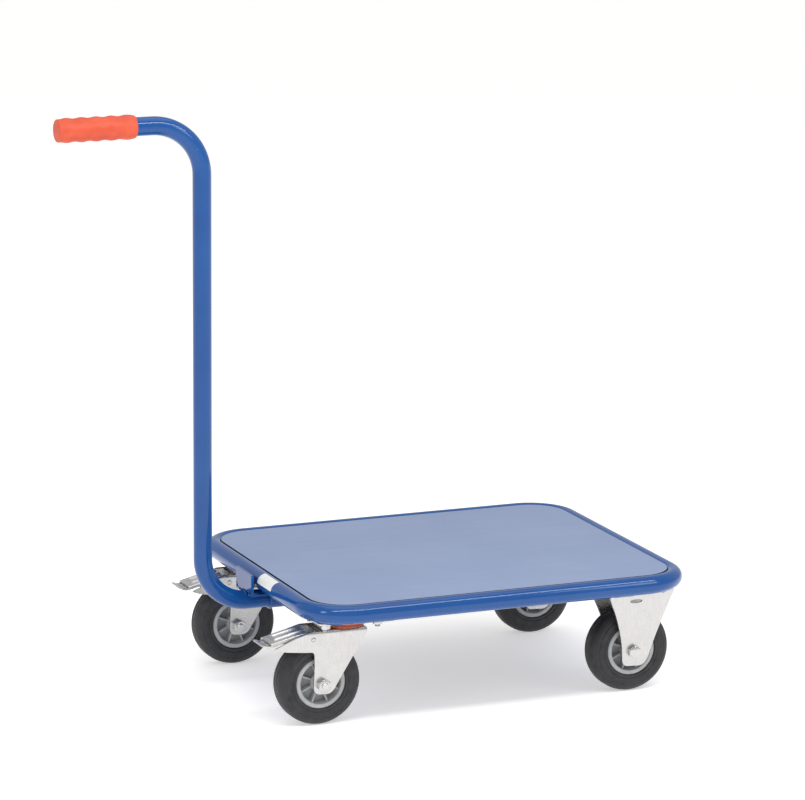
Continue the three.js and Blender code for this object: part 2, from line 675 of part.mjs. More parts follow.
// The nut sits on the side away from the bolt's head
function axleNutGeometry(headSide) {
  const seat = cheekOuter + SEAT_GAP;
  const blank = barY(hexRadius(AXLE_HEAD_ACROSS_FLATS), -seat - AXLE_NUT_HEIGHT, -seat, 6);
  const nut = cut(blank, barY(AXLE_DIAMETER / 2 + SEAT_GAP, -2 * seat, 0));
  return headSide > 0 ? nut : nut.rotateZ(Math.PI);
}

function axleSpacerGeometry() {
  const half = CHEEK_INNER_HALF_GAP - SEAT_GAP;
  const bore = AXLE_DIAMETER / 2 + SEAT_GAP;
  const outer = SPACER_DIAMETER / 2;
  return turned([[bore, -half], [outer, -half], [outer, half], [bore, half]], SIDES_ROUND);
}

// Solid rubber with stepped shoulders and a rounded tread
function tyreGeometry() {
  const seat = TYRE_SEAT_DIAMETER / 2 + SEAT_GAP;
  const half = TYRE_WIDTH / 2;
  const right = [
    [seat, half], [wheelRadius - 12, half], [wheelRadius - 10.5, half - 1.2],
    [wheelRadius - 3.5, half - 4], [wheelRadius, half * 0.45],
  ];
  const left = right.map(([r, y]) => [r, -y]).reverse();
  return turned([...right, ...left], SIDES_WHEEL);
}

// A moulded centre: rim and hub joined by a thin web with radial ribs
function rimGeometry() {
  const outer = TYRE_SEAT_DIAMETER / 2;
  const inner = outer - RIM_LIP_THICKNESS;
  const hub = HUB_DIAMETER / 2;
  const bore = SPACER_DIAMETER / 2 + RUNNING_GAP;
  const web = RIM_WEB_THICKNESS / 2;
  const right = [
    [bore, HUB_WIDTH / 2], [hub - 1, HUB_WIDTH / 2], [hub, web], [inner - 2, web], [inner, RIM_WIDTH / 2],
    [outer, RIM_WIDTH / 2],
  ];
  const left = right.map(([r, y]) => [r, -y]).reverse();
  const body = turned([...right, ...left], SIDES_RIM);
  const ribLength = inner - hub + 2;
  const ribs = Array.from({ length: RIM_RIBS }, (_, i) => {
    const rib = new THREE.BoxGeometry(ribLength, 0.72 * RIM_WIDTH, RIB_THICKNESS);
    return rib.translate(hub - 1.5 + ribLength / 2, 0, 0).rotateY((i + 0.5) * 2 * Math.PI / RIM_RIBS);
  });
  return join(body, ...ribs);
}

// Brake pieces, placed about the wheel's axle -----------------------------------

// The pedal is folded sheet: a sloping tread with two pressed ribs and an ear
// on each side that hangs on the brake's pin
function pedalGeometry() {
  const half = PEDAL_WIDTH / 2;
  const pinX = -BRAKE_PIN_BEHIND_AXLE;
  const pinZ = BRAKE_PIN_ABOVE_AXLE;
  const tip = -PEDAL_TIP_BEHIND_AXLE;
  const top = crownTop - 1.4;
  const kneeTop = top - 5;
  const tipTop = crownTop - PEDAL_TIP_BELOW_CROWN;
  const line = [[pinX + 5.5, top], [pinX - 8, top], [PEDAL_KNEE_X, kneeTop], [tip, tipTop]];
  const under = line.map(([x, z]) => [x, z - PEDAL_SHEET]).reverse();
  const tread = plateAlongY([...line, ...under], -half, half);
  const ear = polygon([
    [pinX + 5.5, top - 1], [pinX - 8, top - 1], [PEDAL_KNEE_X, kneeTop - 1], [PEDAL_KNEE_X, kneeTop - 5],
    [pinX - 7, pinZ - 5], [pinX, pinZ - 6.3], [pinX + 5.5, pinZ - 4],
  ]);
  const ears = [plateAlongY(ear, -half, -half + PEDAL_SHEET), plateAlongY(ear, half - PEDAL_SHEET, half)];
  const rise = kneeTop - tipTop;
  const run = PEDAL_KNEE_X - tip;
  const ribs = [-1, 1].map((side) => {
    const rib = new THREE.BoxGeometry(run - 6, 4, 2.4);
    rib.rotateY(-Math.atan2(rise, run));
    return rib.translate((tip + PEDAL_KNEE_X) / 2, side * PEDAL_RIB_Y, (tipTop + kneeTop) / 2);
  });
  const bore = barY(BRAKE_PIN_DIAMETER / 2 + SEAT_GAP, -PEDAL_WIDTH, PEDAL_WIDTH, SIDES_SMALL);
  bore.translate(pinX, 0, pinZ);
  return cut(join(tread, ...ears, ...ribs), bore);
}

// A pressed toe tab under the pedal's tip that lifts the brake off again
function releaseTabGeometry() {
  const tip = -PEDAL_TIP_BEHIND_AXLE;
  const top = crownTop - PEDAL_TIP_BELOW_CROWN - PEDAL_SHEET - SEAT_GAP;
  const back = tip + 16;
  const line = [[back, top + 3.4], [tip, top - 0.6], [tip - 4, top - 0.8], [back - TAB_LENGTH, top + 2.4]];
  const under = line.map(([x, z]) => [x, z - PEDAL_SHEET]).reverse();
  return plateAlongY([...line, ...under], -TAB_WIDTH / 2, TAB_WIDTH / 2);
}

// The shoe hangs between the pedal's ears, just clear of the tread
function brakeShoeGeometry() {
  const half = PEDAL_WIDTH / 2 - PEDAL_SHEET - SEAT_GAP;
  const clear = wheelRadius + SHOE_CLEARANCE;
  const top = crownTop - 1.4 - PEDAL_SHEET - SEAT_GAP;
  const right = -BRAKE_PIN_BEHIND_AXLE - BRAKE_PIN_DIAMETER / 2 - 1;
  const left = right - 16;
  const under = (x) => Math.sqrt(clear * clear - x * x);
  const middle = (left + right) / 2;
  const outline = [
    [right, top - 1.5], [left, top - 4.5], [left, under(left)], [middle, under(middle)],
    [right, under(right)],
  ];
  return plateAlongY(outline, -half, half);
}

function brakePinGeometry() {
  const half = cheekOuter + 1;
  return barY(BRAKE_PIN_DIAMETER / 2, -half, half, SIDES_SMALL);
}

// Assembly ------------------------------------------------------------------------

function piece(name, geometry, material) {
  const mesh = new THREE.Mesh(geometry, material);
  mesh.name = name;
  return mesh;
}

function place(object, x, y, z) {
  object.position.set(x, y, z);
  return object;
}

function wheel(tag) {
  const group = new THREE.Group();
  group.add(piece(`tyre_${tag}`, tyreGeometry(), rubber));
  group.add(piece(`rim_${tag}`, rimGeometry(), greyPlastic));
  return group;
}

function axle(tag, headSide) {
  const group = new THREE.Group();
  group.add(piece(`axle_bolt_${tag}`, axleBoltGeometry(headSide), zinc));
  group.add(piece(`axle_nut_${tag}`, axleNutGeometry(headSide), zinc));
  group.add(piece(`axle_spacer_${tag}`, axleSpacerGeometry(), zinc));
  return group;
}

// A swivel caster about its swivel axis, its wheel trailing towards the handle
function swivelCaster(tag) {
  const group = new THREE.Group();
  const raceLow = wheelRadius + crownTop + SEAT_GAP;
  const raceHigh = raceLow + SEAL_HEIGHT;
  const pinBore = KINGPIN_DIAMETER / 2 + SEAT_GAP;
  group.add(piece(`top_plate_${tag}`, swivelPlateGeometry(), zinc));
  group.add(piece(`ball_race_${tag}`, ringZ(pinBore, RACE_DIAMETER / 2, raceLow, raceHigh), zinc));
  group.add(piece(`kingpin_${tag}`, kingpinGeometry(), zinc));
  const seal = ringZ(SEAL_BORE / 2, SEAL_DIAMETER / 2, raceLow, raceHigh);
  group.add(piece(`swivel_seal_${tag}`, seal, sealPlastic));
  const hung = place(new THREE.Group(), -SWIVEL_TRAIL, 0, wheelRadius);
  const nutTowards = 1;
  hung.add(piece(`fork_${tag}`, forkGeometry(), zinc));
  hung.add(wheel(tag), axle(tag, nutTowards));
  hung.add(piece(`brake_pedal_${tag}`, pedalGeometry(), zinc));
  hung.add(piece(`brake_release_tab_${tag}`, releaseTabGeometry(), zinc));
  hung.add(piece(`brake_shoe_${tag}`, brakeShoeGeometry(), zinc));
  const pin = piece(`brake_pin_${tag}`, brakePinGeometry(), zinc);
  hung.add(place(pin, -BRAKE_PIN_BEHIND_AXLE, 0, BRAKE_PIN_ABOVE_AXLE));
  boltPlaces().forEach(([x, y], i) => {
    group.add(place(piece(`plate_bolt_${tag}_${i + 1}`, plateBoltGeometry(), zinc), x, y, 0));
  });
  group.add(hung);
  return group;
}

function fixedCaster(tag) {
  const group = new THREE.Group();
  group.add(piece(`fixed_bracket_${tag}`, fixedBracketGeometry(), zinc));
  group.add(wheel(tag), axle(tag, -1));
  return group;
}

const dolly = new THREE.Group();
dolly.add(piece('frame_tube', frameTubeGeometry(), paint));
dolly.add(piece('deck_board', deckBoardGeometry(), coatedBoard));
dolly.add(place(piece('rear_crossbar', crossbarGeometry(true, swivelX), paint), swivelX, 0, 0));
const frontCrossbar = piece('front_crossbar', crossbarGeometry(false, frontCrossbarX), paint);
dolly.add(place(frontCrossbar, frontCrossbarX, 0, 0));
dolly.add(place(piece('handle_socket', socketGeometry(), paint), socketMouthX, 0, legLevel));
dolly.add(piece('handle_tube', handleTubeGeometry(), paint));
dolly.add(place(piece('handle_grip', gripGeometry(), orangePlastic), gripEndX, 0, HANDLE_HEIGHT));
const stopPlateX = -DECK_LENGTH / 2 - STOP_PLATE_BEHIND_DECK - STOP_PLATE_SHEET;
dolly.add(place(piece('handle_stop_plate', stopPlateGeometry(), paint), stopPlateX, 0, 0));
dolly.add(place(swivelCaster('rear_right'), swivelX, -casterY, 0));
dolly.add(place(swivelCaster('rear_left'), swivelX, casterY, 0));
dolly.add(place(fixedCaster('front_right'), fixedAxleX, -casterY, wheelRadius));
dolly.add(place(fixedCaster('front_left'), fixedAxleX, casterY, wheelRadius));

// The origin is on the floor under the middle of the whole length
dolly.position.x = -(gripEndX + DECK_LENGTH / 2) / 2;

export default dolly;
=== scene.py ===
import math

import bmesh
import bpy
import mathutils
import numpy as np
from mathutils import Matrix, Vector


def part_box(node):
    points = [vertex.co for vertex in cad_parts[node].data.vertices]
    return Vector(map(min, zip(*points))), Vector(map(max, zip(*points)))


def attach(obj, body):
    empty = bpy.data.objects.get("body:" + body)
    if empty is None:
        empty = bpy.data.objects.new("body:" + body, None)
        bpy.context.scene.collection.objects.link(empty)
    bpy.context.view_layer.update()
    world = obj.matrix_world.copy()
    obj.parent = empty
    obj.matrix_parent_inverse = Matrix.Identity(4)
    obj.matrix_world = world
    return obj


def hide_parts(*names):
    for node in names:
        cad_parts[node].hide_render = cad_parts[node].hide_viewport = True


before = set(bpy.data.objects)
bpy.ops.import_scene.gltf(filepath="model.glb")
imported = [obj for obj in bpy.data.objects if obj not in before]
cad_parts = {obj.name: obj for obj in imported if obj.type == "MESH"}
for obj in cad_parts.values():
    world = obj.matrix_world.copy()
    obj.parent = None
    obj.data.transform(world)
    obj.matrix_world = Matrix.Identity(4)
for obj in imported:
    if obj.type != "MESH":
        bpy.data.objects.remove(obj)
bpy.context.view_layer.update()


# ---------------------------------------------------------------------------
# Frame tube
# One steel tube, bent to a loop with four wide corners and welded shut. It is
# powder coated in glossy blue, and a small vent under the front run drains it.

TUBE_RADIUS = 13.45
FRAME_CORNER = 76.0
VENT_RADIUS = 3.0


def box_mm(node):
    """Lowest and highest corner of a node at rest, in millimetres."""
    low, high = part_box(node)
    return 1000 * np.array(low), 1000 * np.array(high)


def grid_faces(rows, columns, closed_rows=False, closed_columns=False):
    """Quads between neighbours on a rows x columns grid that is numbered row by row."""
    i = np.arange(rows if closed_rows else rows - 1)
    j = np.arange(columns if closed_columns else columns - 1)
    i, j = np.meshgrid(i, j, indexing="ij")
    after_i = (i + 1) % rows
    after_j = (j + 1) % columns
    corners = [i * columns + j, i * columns + after_j, after_i * columns + after_j, after_i * columns + j]
    return np.stack(corners, axis=-1).reshape(-1, 4).tolist()


def joined(*shells):
    """Several shells of (points, faces) as one, each one's face numbers moved past the points before it."""
    points, faces, start = [], [], 0
    for shell_points, shell_faces in shells:
        points.append(shell_points)
        faces += [[start + number for number in face] for face in shell_faces]
        start += len(shell_points)
    return np.concatenate(points), faces


def moved(shell, offset):
    """The shell with offset added to every point."""
    return shell[0] + np.asarray(offset, float), shell[1]


def mesh_of(name, shell, outwards=True):
    """A mesh of the shell's points, turned from millimetres to metres, with doubled points merged."""
    mesh = bpy.data.meshes.new(name)
    mesh.from_pydata((np.asarray(shell[0]) / 1000).tolist(), [], shell[1])
    work = bmesh.new()
    work.from_mesh(mesh)
    bmesh.ops.remove_doubles(work, verts=work.verts, dist=2e-6)
    bmesh.ops.dissolve_degenerate(work, edges=work.edges, dist=1e-7)
    if outwards:
        bmesh.ops.recalc_face_normals(work, faces=work.faces)
    work.to_mesh(mesh)
    work.free()
    return mesh


def add_piece(name, shell, material, body, stands_for=(), crease=35, outwards=True):
    """An object at the origin with the shell as its mesh, smooth except over edges sharper than crease."""
    mesh = mesh_of(name, shell, outwards)
    mesh.shade_smooth()
    mesh.set_sharp_from_angle(angle=math.radians(crease))
    mesh.materials.append(material)
    piece = bpy.data.objects.new(name, mesh)
    bpy.context.scene.collection.objects.link(piece)
    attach(piece, body)
    if stands_for:
        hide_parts(*stands_for)
    return piece


def ease_edges(piece, width, segments=2, angle=35):
    """A small bevel on every edge sharper than angle, in millimetres."""
    bevel = piece.modifiers.new("eased edges", "BEVEL")
    bevel.width = width / 1000
    bevel.segments = segments
    bevel.limit_method = "ANGLE"
    bevel.angle_limit = math.radians(angle)
    bevel.use_clamp_overlap = True
    bevel.harden_normals = True


def combined(first, second, operation):
    """The two closed shells put together by an exact boolean: UNION, DIFFERENCE or INTERSECT."""
    holders = []
    for label, shell in (("first", first), ("second", second)):
        holder = bpy.data.objects.new(label, mesh_of(label, shell))
        bpy.context.scene.collection.objects.link(holder)
        holders.append(holder)
    boolean = holders[0].modifiers.new("cut", "BOOLEAN")
    boolean.operation = operation
    boolean.solver = "EXACT"
    boolean.object = holders[1]
    graph = bpy.context.evaluated_depsgraph_get()
    result = bpy.data.meshes.new_from_object(holders[0].evaluated_get(graph))
    points = np.empty(3 * len(result.vertices), dtype=np.float32)
    result.vertices.foreach_get("co", points)
    faces = [list(polygon.vertices) for polygon in result.polygons]
    for holder in holders:
        bpy.data.objects.remove(holder)
    bpy.data.meshes.remove(result)
    return 1000.0 * points.reshape(-1, 3).astype(float), faces


def circle(radius, count, start=0.0):
    """Count points round a circle: (radius cos a, radius sin a)."""
    angle = start + np.arange(count) * 2 * math.pi / count
    return np.stack([radius * np.cos(angle), radius * np.sin(angle)], axis=-1)


def carried(path, side, up, section):
    """A section of (s, t) carried along a path: point + s * side + t * up."""
    across = section[None, :, 0, None] * side[:, None]
    return path[:, None] + across + section[None, :, 1, None] * up[:, None]


def capped(rings):
    """Rings of points joined into a wall, with the first and the last ring capped."""
    rows, count = rings.shape[:2]
    caps = [list(range(count)), list(range((rows - 1) * count, rows * count))]
    return rings.reshape(-1, 3), grid_faces(rows, count, closed_columns=True) + caps


def prism(section, axis, low, high):
    """A closed section of (s, t) carried straight along an axis (0, 1 or 2), its two ends capped."""
    section = np.asarray(section, float)
    points = np.zeros((2, len(section), 3))
    first, second = [k for k in range(3) if k != axis]
    points[..., first] = section[:, 0]
    points[..., second] = section[:, 1]
    points[0, :, axis] = low
    points[1, :, axis] = high
    return capped(points)


def rod(axis, radius, low, high, count=40):
    """A round bar along an axis through the origin."""
    return prism(circle(radius, count), axis, low, high)


def frame_loop(low, high, level, corner, steps=28):
    """The loop's centreline: four quarter circles of the corner's radius, joined by straights."""
    bend = corner - TUBE_RADIUS
    centre = (low + high)[:2] / 2
    reach = (high - low)[:2] / 2 - corner
    angle = np.linspace(0, math.pi / 2, steps + 1)[None, :] + np.arange(4)[:, None] * math.pi / 2
    signs = np.array([[1, 1], [-1, 1], [-1, -1], [1, -1]])
    outward = np.stack([np.cos(angle), np.sin(angle)], axis=-1)
    flat = centre + signs[:, None] * reach + bend * outward
    path = np.concatenate([flat, np.full(flat.shape[:2] + (1,), level)], axis=-1).reshape(-1, 3)
    side = np.concatenate([outward, np.zeros(outward.shape[:2] + (1,))], axis=-1).reshape(-1, 3)
    return path, side


def add_node(tree, kind, values=None, **settings):
    """A shader node with its settings, its sockets' values, and links where a value is another socket."""
    made = tree.nodes.new("ShaderNode" + kind)
    for key, value in settings.items():
        setattr(made, key, value)
    for key, value in (values or {}).items():
        if isinstance(value, bpy.types.NodeSocket):
            tree.links.new(value, made.inputs[key])
        else:
            made.inputs[key].default_value = value
    return made


def new_group(name, inputs, outputs):
    """A shader node group with float inputs of given defaults and float outputs, and its two end nodes."""
    tree = bpy.data.node_groups.new(name, "ShaderNodeTree")
    for label, default in inputs.items():
        tree.interface.new_socket(label, in_out="INPUT", socket_type="NodeSocketFloat").default_value = default
    for label in outputs:
        tree.interface.new_socket(label, in_out="OUTPUT", socket_type="NodeSocketFloat")
    return tree, tree.nodes.new("NodeGroupInput"), tree.nodes.new("NodeGroupOutput")


def cloud_group():
    """Noise in object space with lumps of Size millimetres, spread from Low to High."""
    tree, given, result = new_group("cloudy change", {"Size": 40, "Low": 0, "High": 1}, ["Value"])
    place = add_node(tree, "TexCoord")
    count = add_node(tree, "Math", {0: 1000.0, 1: given.outputs["Size"]}, operation="DIVIDE")
    noise = add_node(tree, "TexNoise", {
        "Vector": place.outputs["Object"], "Scale": count.outputs[0], "Detail": 4.0, "Roughness": 0.55,
    })
    spread = add_node(tree, "MapRange", {
        "Value": noise.outputs["Fac"], "From Min": 0.3, "From Max": 0.7,
        "To Min": given.outputs["Low"], "To Max": given.outputs["High"],
    })
    tree.links.new(spread.outputs["Result"], result.inputs["Value"])
    return tree


def speck_group():
    """Sparse round specks: 1 inside a speck of Size millimetres, in Share of the cells, else 0."""
    tree, given, result = new_group("specks", {"Spacing": 12, "Share": 0.2, "Size": 0.12}, ["Mask"])
    place = add_node(tree, "TexCoord")
    count = add_node(tree, "Math", {0: 1000.0, 1: given.outputs["Spacing"]}, operation="DIVIDE")
    cells = add_node(tree, "TexVoronoi", {"Vector": place.outputs["Object"], "Scale": count.outputs[0]})
    pick = add_node(tree, "SeparateColor", {"Color": cells.outputs["Color"]})
    chosen = add_node(tree, "Math", {0: pick.outputs[0], 1: given.outputs["Share"]}, operation="LESS_THAN")
    near = add_node(tree, "MapRange", {
        "Value": cells.outputs["Distance"], "From Min": given.outputs["Size"], "From Max": 0.0,
    })
    mask = add_node(tree, "Math", {0: chosen.outputs[0], 1: near.outputs["Result"]}, operation="MULTIPLY")
    tree.links.new(mask.outputs[0], result.inputs["Mask"])
    return tree


def streak_group():
    """Noise drawn out along X, Y or Z by three stretch factors, for rolled, brushed or rubbed surfaces."""
    inputs = {"Size": 3, "Along X": 1, "Along Y": 1, "Along Z": 1}
    tree, given, result = new_group("drawn streaks", inputs, ["Value"])
    place = add_node(tree, "TexCoord")
    parts = add_node(tree, "SeparateXYZ", {"Vector": place.outputs["Object"]})
    drawn = add_node(tree, "CombineXYZ")
    for axis in "XYZ":
        part = add_node(tree, "Math", {
            0: parts.outputs[axis], 1: given.outputs["Along " + axis],
        }, operation="DIVIDE")
        tree.links.new(part.outputs[0], drawn.inputs[axis])
    count = add_node(tree, "Math", {0: 1000.0, 1: given.outputs["Size"]}, operation="DIVIDE")
    noise = add_node(tree, "TexNoise", {"Vector": drawn.outputs[0], "Scale": count.outputs[0], "Detail": 3.0})
    tree.links.new(noise.outputs["Fac"], result.inputs["Value"])
    return tree


clouds = cloud_group()
specks = speck_group()
streaks = streak_group()


def from_group(tree, group, **values):
    """The group placed in a material with its own values."""
    made = tree.nodes.new("ShaderNodeGroup")
    made.node_tree = group
    for key, value in values.items():
        made.inputs[key.replace("_", " ")].default_value = value
    return made


def new_material(name, color, **sockets):
    """A material with its Principled shader, the plain colour and constants set on the shader's own sockets."""
    material = bpy.data.materials.new(name)
    material.use_nodes = True
    shader = material.node_tree.nodes["Principled BSDF"]
    shader.inputs["Base Color"].default_value = (*color, 1)
    for key, value in sockets.items():
        shader.inputs[key.replace("_", " ")].default_value = value
    return material, material.node_tree, shader


def blend_colors(tree, factor, first, second):
    """The colour that goes from first to second with the factor."""
    mix = add_node(tree, "Mix", data_type="RGBA")
    tree.links.new(factor, mix.inputs["Factor"])
    for label, value in (("A", first), ("B", second)):
        socket = [s for s in mix.inputs if s.name == label and s.type == "RGBA"][0]
        if isinstance(value, bpy.types.NodeSocket):
            tree.links.new(value, socket)
        else:
            socket.default_value = (*value, 1)
    return [s for s in mix.outputs if s.type == "RGBA"][0]


def bump(tree, shader, height, depth):
    """A bump of depth millimetres from a height of 0 to 1, onto the shader's normal."""
    made = add_node(tree, "Bump", {"Height": height, "Distance": depth / 1000, "Strength": 1.0})
    tree.links.new(made.outputs["Normal"], shader.inputs["Normal"])


def layered(name, plain, ground, layers, gloss, grain, **sockets):
    """Colours over a ground, each where its group says, with cloudy gloss and a bump of fine clouds.

    layers: (group, its values, colour); gloss: (size, lowest, highest); grain: (size, depth).
    """
    material, tree, shader = new_material(name, plain, **sockets)
    color = ground
    for group, values, tone in layers:
        color = blend_colors(tree, from_group(tree, group, **values).outputs[0], color, tone)
    if layers:
        tree.links.new(color, shader.inputs["Base Color"])
    if gloss:
        cloudy = from_group(tree, clouds, Size=gloss[0], Low=gloss[1], High=gloss[2])
        tree.links.new(cloudy.outputs[0], shader.inputs["Roughness"])
    bump(tree, shader, from_group(tree, clouds, Size=grain[0]).outputs[0], grain[1])
    return material


# Glossy blue coating: orange peel of about 2 mm, cloudy gloss, rare pale dust specks
blue_coat = layered(
    "blue powder coat", (0.006, 0.082, 0.305), (0.003, 0.066, 0.265), [
        (clouds, {"Size": 90}, (0.006, 0.082, 0.305)),
        (specks, {"Spacing": 22, "Share": 0.12, "Size": 0.05}, (0.07, 0.20, 0.46)),
    ], (30, 0.09, 0.14), (3.2, 0.004), Coat_Weight=0.4, Coat_Roughness=0.03, IOR=1.36,
)

frame_low, frame_high = box_mm("frame_tube")
frame_level = (frame_low[2] + frame_high[2]) / 2
loop_path, loop_side = frame_loop(frame_low, frame_high, frame_level, FRAME_CORNER)
loop_up = np.tile([0.0, 0.0, 1.0], (len(loop_path), 1))
loop_points = carried(loop_path, loop_side, loop_up, circle(TUBE_RADIUS, 56))
loop_shell = (
    loop_points.reshape(-1, 3),
    grid_faces(len(loop_path), 56, closed_rows=True, closed_columns=True),
)
vent_x = frame_high[0] - TUBE_RADIUS
vent = moved(rod(2, VENT_RADIUS, frame_low[2] - 5, frame_low[2] + 4), (vent_x, 0, 0))
loop_shell = combined(loop_shell, vent, "DIFFERENCE")
add_piece("frame_loop", loop_shell, blue_coat, "frame", ["frame_tube"])


# A blank white sticker wraps a quarter of the rear run, near its middle
# Its film is faintly yellowed, with a soft gloss and a few small blisters
white_film = layered(
    "white film", (0.86, 0.86, 0.84), (0.80, 0.80, 0.77), [(clouds, {"Size": 20}, (0.88, 0.88, 0.87))],
    (9, 0.30, 0.42), (4, 0.02), IOR=1.45,
)
STICKER_ROWS, STICKER_COLUMNS = 25, 9
sticker_turn, sticker_y = np.meshgrid(
    np.radians(np.linspace(92, 176, STICKER_ROWS)), np.linspace(-80.5, -26, STICKER_COLUMNS), indexing="ij",
)
rear_run = frame_low[0] + TUBE_RADIUS
sticker = []
for lift in (0.0, 0.12):
    reach = TUBE_RADIUS + lift
    sticker.append(np.stack([
        rear_run + reach * np.cos(sticker_turn), sticker_y, frame_level + reach * np.sin(sticker_turn),
    ], axis=-1).reshape(-1, 3))
numbers = np.arange(sticker_turn.size).reshape(sticker_turn.shape)
rim = np.concatenate([numbers[0], numbers[1:, -1], numbers[-1, -2::-1], numbers[-2:0:-1, 0]])
upper = numbers.size
wall = [[int(a), int(b), int(b) + upper, int(a) + upper] for a, b in zip(rim, np.roll(rim, -1))]
sheet_faces = grid_faces(STICKER_ROWS, STICKER_COLUMNS)
lifted_faces = [[n + upper for n in face] for face in sheet_faces]
sticker_shell = np.concatenate(sticker), sheet_faces + lifted_faces + wall
add_piece("blank_sticker", sticker_shell, white_film, "frame")


# ---------------------------------------------------------------------------
# Deck board
# A 12 mm wood board with a matt grey-blue laminate on top, near black below and on its hollowed edge, partly painted
# shade.
# Its hollowed edge beds on the tube's shoulder, just below the crest.

BED_RADIUS = TUBE_RADIUS + 0.7
RIM_EASE = 0.5


def softened(outline, radius, steps=5, closed=True):
    """Each corner p turned on a short curve (1-t)^2 a + 2t(1-t) p + t^2 b, with a and b beside it."""
    points = np.asarray(outline, float)
    radius = np.broadcast_to(np.asarray(radius, float), (len(points),))
    before = np.roll(points, 1, axis=0) - points
    after = np.roll(points, -1, axis=0) - points
    length_before = np.maximum(np.linalg.norm(before, axis=1), 1e-9)
    length_after = np.maximum(np.linalg.norm(after, axis=1), 1e-9)
    reach = np.minimum(radius, 0.49 * np.minimum(length_before, length_after))
    start = points + before / length_before[:, None] * reach[:, None]
    end = points + after / length_after[:, None] * reach[:, None]
    t = np.linspace(0, 1, steps + 1)[None, :, None]
    curve = (1 - t) ** 2 * start[:, None] + 2 * t * (1 - t) * points[:, None] + t**2 * end[:, None]
    sharp = reach < 1e-6
    curve[sharp] = points[sharp][:, None]
    if not closed:
        curve[0] = points[0]
        curve[-1] = points[-1]
    curve = curve.reshape(-1, 2)
    steps_away = np.linalg.norm(np.diff(curve, axis=0), axis=1) > 1e-6
    keep = np.concatenate([[True], steps_away])
    if closed and np.linalg.norm(curve[0] - curve[-1]) < 1e-6:
        keep[-1] = False
    return curve[keep]


def turned_inwards(loop, inward):
    """Unit steps from each point of a loop into the material, from the mean of its two edges' normals."""
    edge = np.roll(loop, -1, axis=0) - loop
    edge /= np.linalg.norm(edge, axis=1)[:, None]
    normal = np.stack([-edge[:, 1], edge[:, 0]], axis=-1)
    both = normal + np.roll(normal, 1, axis=0)
    both /= np.linalg.norm(both, axis=1)[:, None]
    area = np.sum(loop[:, 0] * np.roll(loop[:, 1], -1) - loop[:, 1] * np.roll(loop[:, 0], -1))
    return both * (1 if (area > 0) == inward else -1)


def flat_plate(outline, holes, thickness, edge):
    """A plate in X-Y from height 0 to thickness: each loop is a wall with quarter-round rims of size edge."""
    turn = np.linspace(0, math.pi / 2, 4)
    offset = np.concatenate([edge * (1 - np.sin(turn)), edge * (1 - np.cos(turn))])
    level = np.concatenate([edge * (1 - np.cos(turn)), thickness - edge * (1 - np.sin(turn))])
    shells, bottoms, tops, start = [], [], [], 0
    for number, loop in enumerate([outline, *holes]):
        loop = np.asarray(loop, float)
        step = turned_inwards(loop, inward=number == 0)
        ring = loop[None] + offset[:, None, None] * step[None]
        height = np.broadcast_to(level[:, None, None], ring.shape[:2] + (1,))
        shells.append((
            np.concatenate([ring, height], axis=-1).reshape(-1, 3),
            grid_faces(len(level), len(loop), closed_columns=True),
        ))
        bottoms.append((ring[0], start))
        tops.append((ring[-1], start + (len(level) - 1) * len(loop)))
        start += len(level) * len(loop)
    points, faces = joined(*shells)
    for rings in (bottoms, tops):
        numbers = np.concatenate([first + np.arange(len(ring)) for ring, first in rings])
        loops = [[mathutils.Vector((x, y, 0)) for x, y in ring] for ring, _ in rings]
        faces += [[int(numbers[k]) for k in corner] for corner in mathutils.geometry.tessellate_polygon(loops)]
    return points, faces


def rounded_rectangle(length, width, radius, steps=16):
    """A rectangle centred on the origin with quarter-circle corners."""
    angle = np.linspace(0, math.pi / 2, steps + 1)[None, :] + np.arange(4)[:, None] * math.pi / 2
    signs = np.array([[1, 1], [-1, 1], [-1, -1], [1, -1]])
    centre = signs * np.array([length / 2 - radius, width / 2 - radius])
    return (centre[:, None] + radius * np.stack([np.cos(angle), np.sin(angle)], axis=-1)).reshape(-1, 2)


def laminate():
    """Matt coated board: a fine two-tone grain, faint rubbed marks along the deck, a soft leathery bump."""
    high = (0.285, 0.358, 0.535)
    face = layered(
        "grey-blue laminate", high, (0.250, 0.320, 0.495), [
            (clouds, {"Size": 160}, high),
            (clouds, {"Size": 1.6, "Low": 0, "High": 0.35}, (0.225, 0.290, 0.470)),
            (specks, {"Spacing": 5, "Share": 0.3, "Size": 0.10}, (0.36, 0.43, 0.59)),
        ], None, (0.9, 0.02), IOR=1.45,
    )
    tree = face.node_tree
    rubbed = from_group(tree, streaks, Size=9, Along_X=14)
    gloss = add_node(tree, "MapRange", {
        "Value": rubbed.outputs[0], "From Min": 0.35, "From Max": 0.65, "To Min": 0.50, "To Max": 0.56,
    })
    tree.links.new(gloss.outputs["Result"], tree.nodes["Principled BSDF"].inputs["Roughness"])
    return face


def bedded_panel(size, corner, section):
    """Rounded rectangles, each with an inset and a level from the section, joined and capped."""
    rings = []
    for inset, level in section:
        ring = rounded_rectangle(size[0] - 2 * inset, size[1] - 2 * inset, corner - inset)
        rings.append(np.column_stack([ring, np.full(len(ring), level)]))
    return capped(np.stack(rings))


